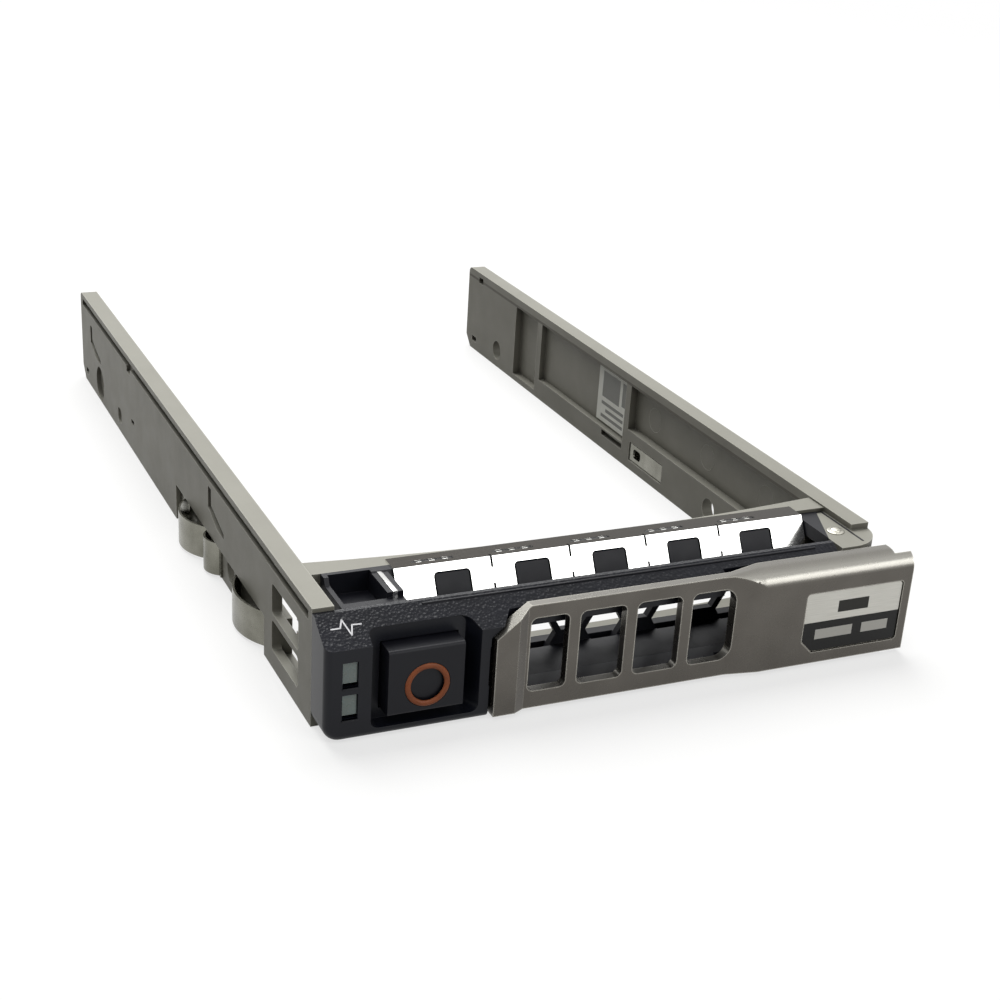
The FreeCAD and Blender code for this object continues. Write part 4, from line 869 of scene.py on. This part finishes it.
def makeFloor():
    floor = bpy.data.meshes.new("paleFloor")
    half = room["half"]
    floor.from_pydata([(-half, -half, 0), (half, -half, 0), (half, half, 0), (-half, half, 0)],
                      [], [(0, 1, 2, 3)])
    floorObject = bpy.data.objects.new("paleFloor", floor)
    floorObject.location.z = -room["drop"]
    bpy.context.scene.collection.objects.link(floorObject)
    material = bpy.data.materials.new("paleFloor")
    tree = emptyTree(material)
    seen = backgroundRays(tree)
    colour = addNode(tree, "ShaderNodeMix", {"data_type": "RGBA", 6: hexColour(room["bounce"]),
                                             7: hexColour(room["floor"])}, {0: seen})
    matt = addNode(tree, "ShaderNodeBsdfDiffuse", None, {"Color": colour.outputs[2]})
    white = addNode(tree, "ShaderNodeEmission", {"Color": hexColour("#ffffff"), "Strength": 1.0})
    coords = addNode(tree, "ShaderNodeTexCoord").outputs["Object"]
    away = addNode(tree, "ShaderNodeVectorMath", {"operation": "LENGTH"}, {0: coords})
    lift = addNode(tree, "ShaderNodeMapRange",
                   {"From Min": room["near"], "From Max": room["far"], "To Min": room["lift"]},
                   {"Value": away.outputs["Value"]})
    glow = addNode(tree, "ShaderNodeMath", {"operation": "MULTIPLY"},
                   {0: seen, 1: lift.outputs["Result"]})
    mix = addNode(tree, "ShaderNodeMixShader", None,
                  {0: glow.outputs[0], 1: matt.outputs[0], 2: white.outputs[0]})
    addNode(tree, "ShaderNodeOutputMaterial", None, {"Surface": mix.outputs[0]})
    floorObject.data.materials.append(material)


def makeWorld():
    world = bpy.data.worlds.new("paleRoom")
    bpy.context.scene.world = world
    tree = emptyTree(world)
    seen = addNode(tree, "ShaderNodeBackground", {"Color": hexColour("#ffffff"), "Strength": 1.0})
    lit = addNode(tree, "ShaderNodeBackground",
                  {"Color": hexColour("#f6f6f8"), "Strength": room["air"]})
    mix = addNode(tree, "ShaderNodeMixShader", None,
                  {0: backgroundRays(tree), 1: lit.outputs[0], 2: seen.outputs[0]})
    addNode(tree, "ShaderNodeOutputWorld", None, {"Surface": mix.outputs[0]})


# places and sizes in metres
softboxes = {
    "overhead": {"at": (0.0, 0.5, 0.85), "size": 0.8, "watts": 12.6},
    "frontRightCard": {"at": (0.5, -0.85, 0.42), "size": 0.5, "watts": 2.6},
    "leftFill": {"at": (-0.9, -0.3, 0.1), "size": 0.3, "watts": 0.6},
    "edgeStrip": {"at": (-0.25, -0.45, 0.75), "size": 1.2, "deep": 0.08, "watts": 2.4},
}


def makeLights():
    for name, box in softboxes.items():
        lamp = bpy.data.lights.new(name, "AREA")
        lamp.shape = "RECTANGLE"
        lamp.size, lamp.size_y = box["size"], box.get("deep", box["size"])
        lamp.energy = box["watts"]
        lampObject = bpy.data.objects.new(name, lamp)
        lampObject.location = box["at"]
        aim = -lampObject.location  # every lamp looks at the middle of the floor
        lampObject.rotation_euler = aim.to_track_quat("-Z", "Y").to_euler()
        bpy.context.scene.collection.objects.link(lampObject)


# at is a place in mm, turn is in degrees, and focal is in sensor widths
camera = {"at": (-91.9, -160.8, 100.7), "turn": (65.663, -2.788, -22.711),
          "focal": 1.7172, "shift": (0.04, 0.04), "sensor": 36.0, "clip": 0.01}


def makeCamera():
    data = bpy.data.cameras.new("eye")
    data.sensor_width = camera["sensor"]
    data.lens = camera["focal"] * camera["sensor"]
    data.shift_x, data.shift_y = camera["shift"]
    data.clip_start = camera["clip"]
    eye = bpy.data.objects.new("eye", data)
    eye.location = place(*camera["at"])
    eye.rotation_euler = Euler([math.radians(angle) for angle in camera["turn"]], "XYZ")
    bpy.context.scene.collection.objects.link(eye)
    bpy.context.scene.camera = eye


print("stage: room, lights and camera")
makeFloor()
makeWorld()
makeLights()
makeCamera()
bpy.context.scene.view_settings.view_transform = "Standard"

print("stage: done")
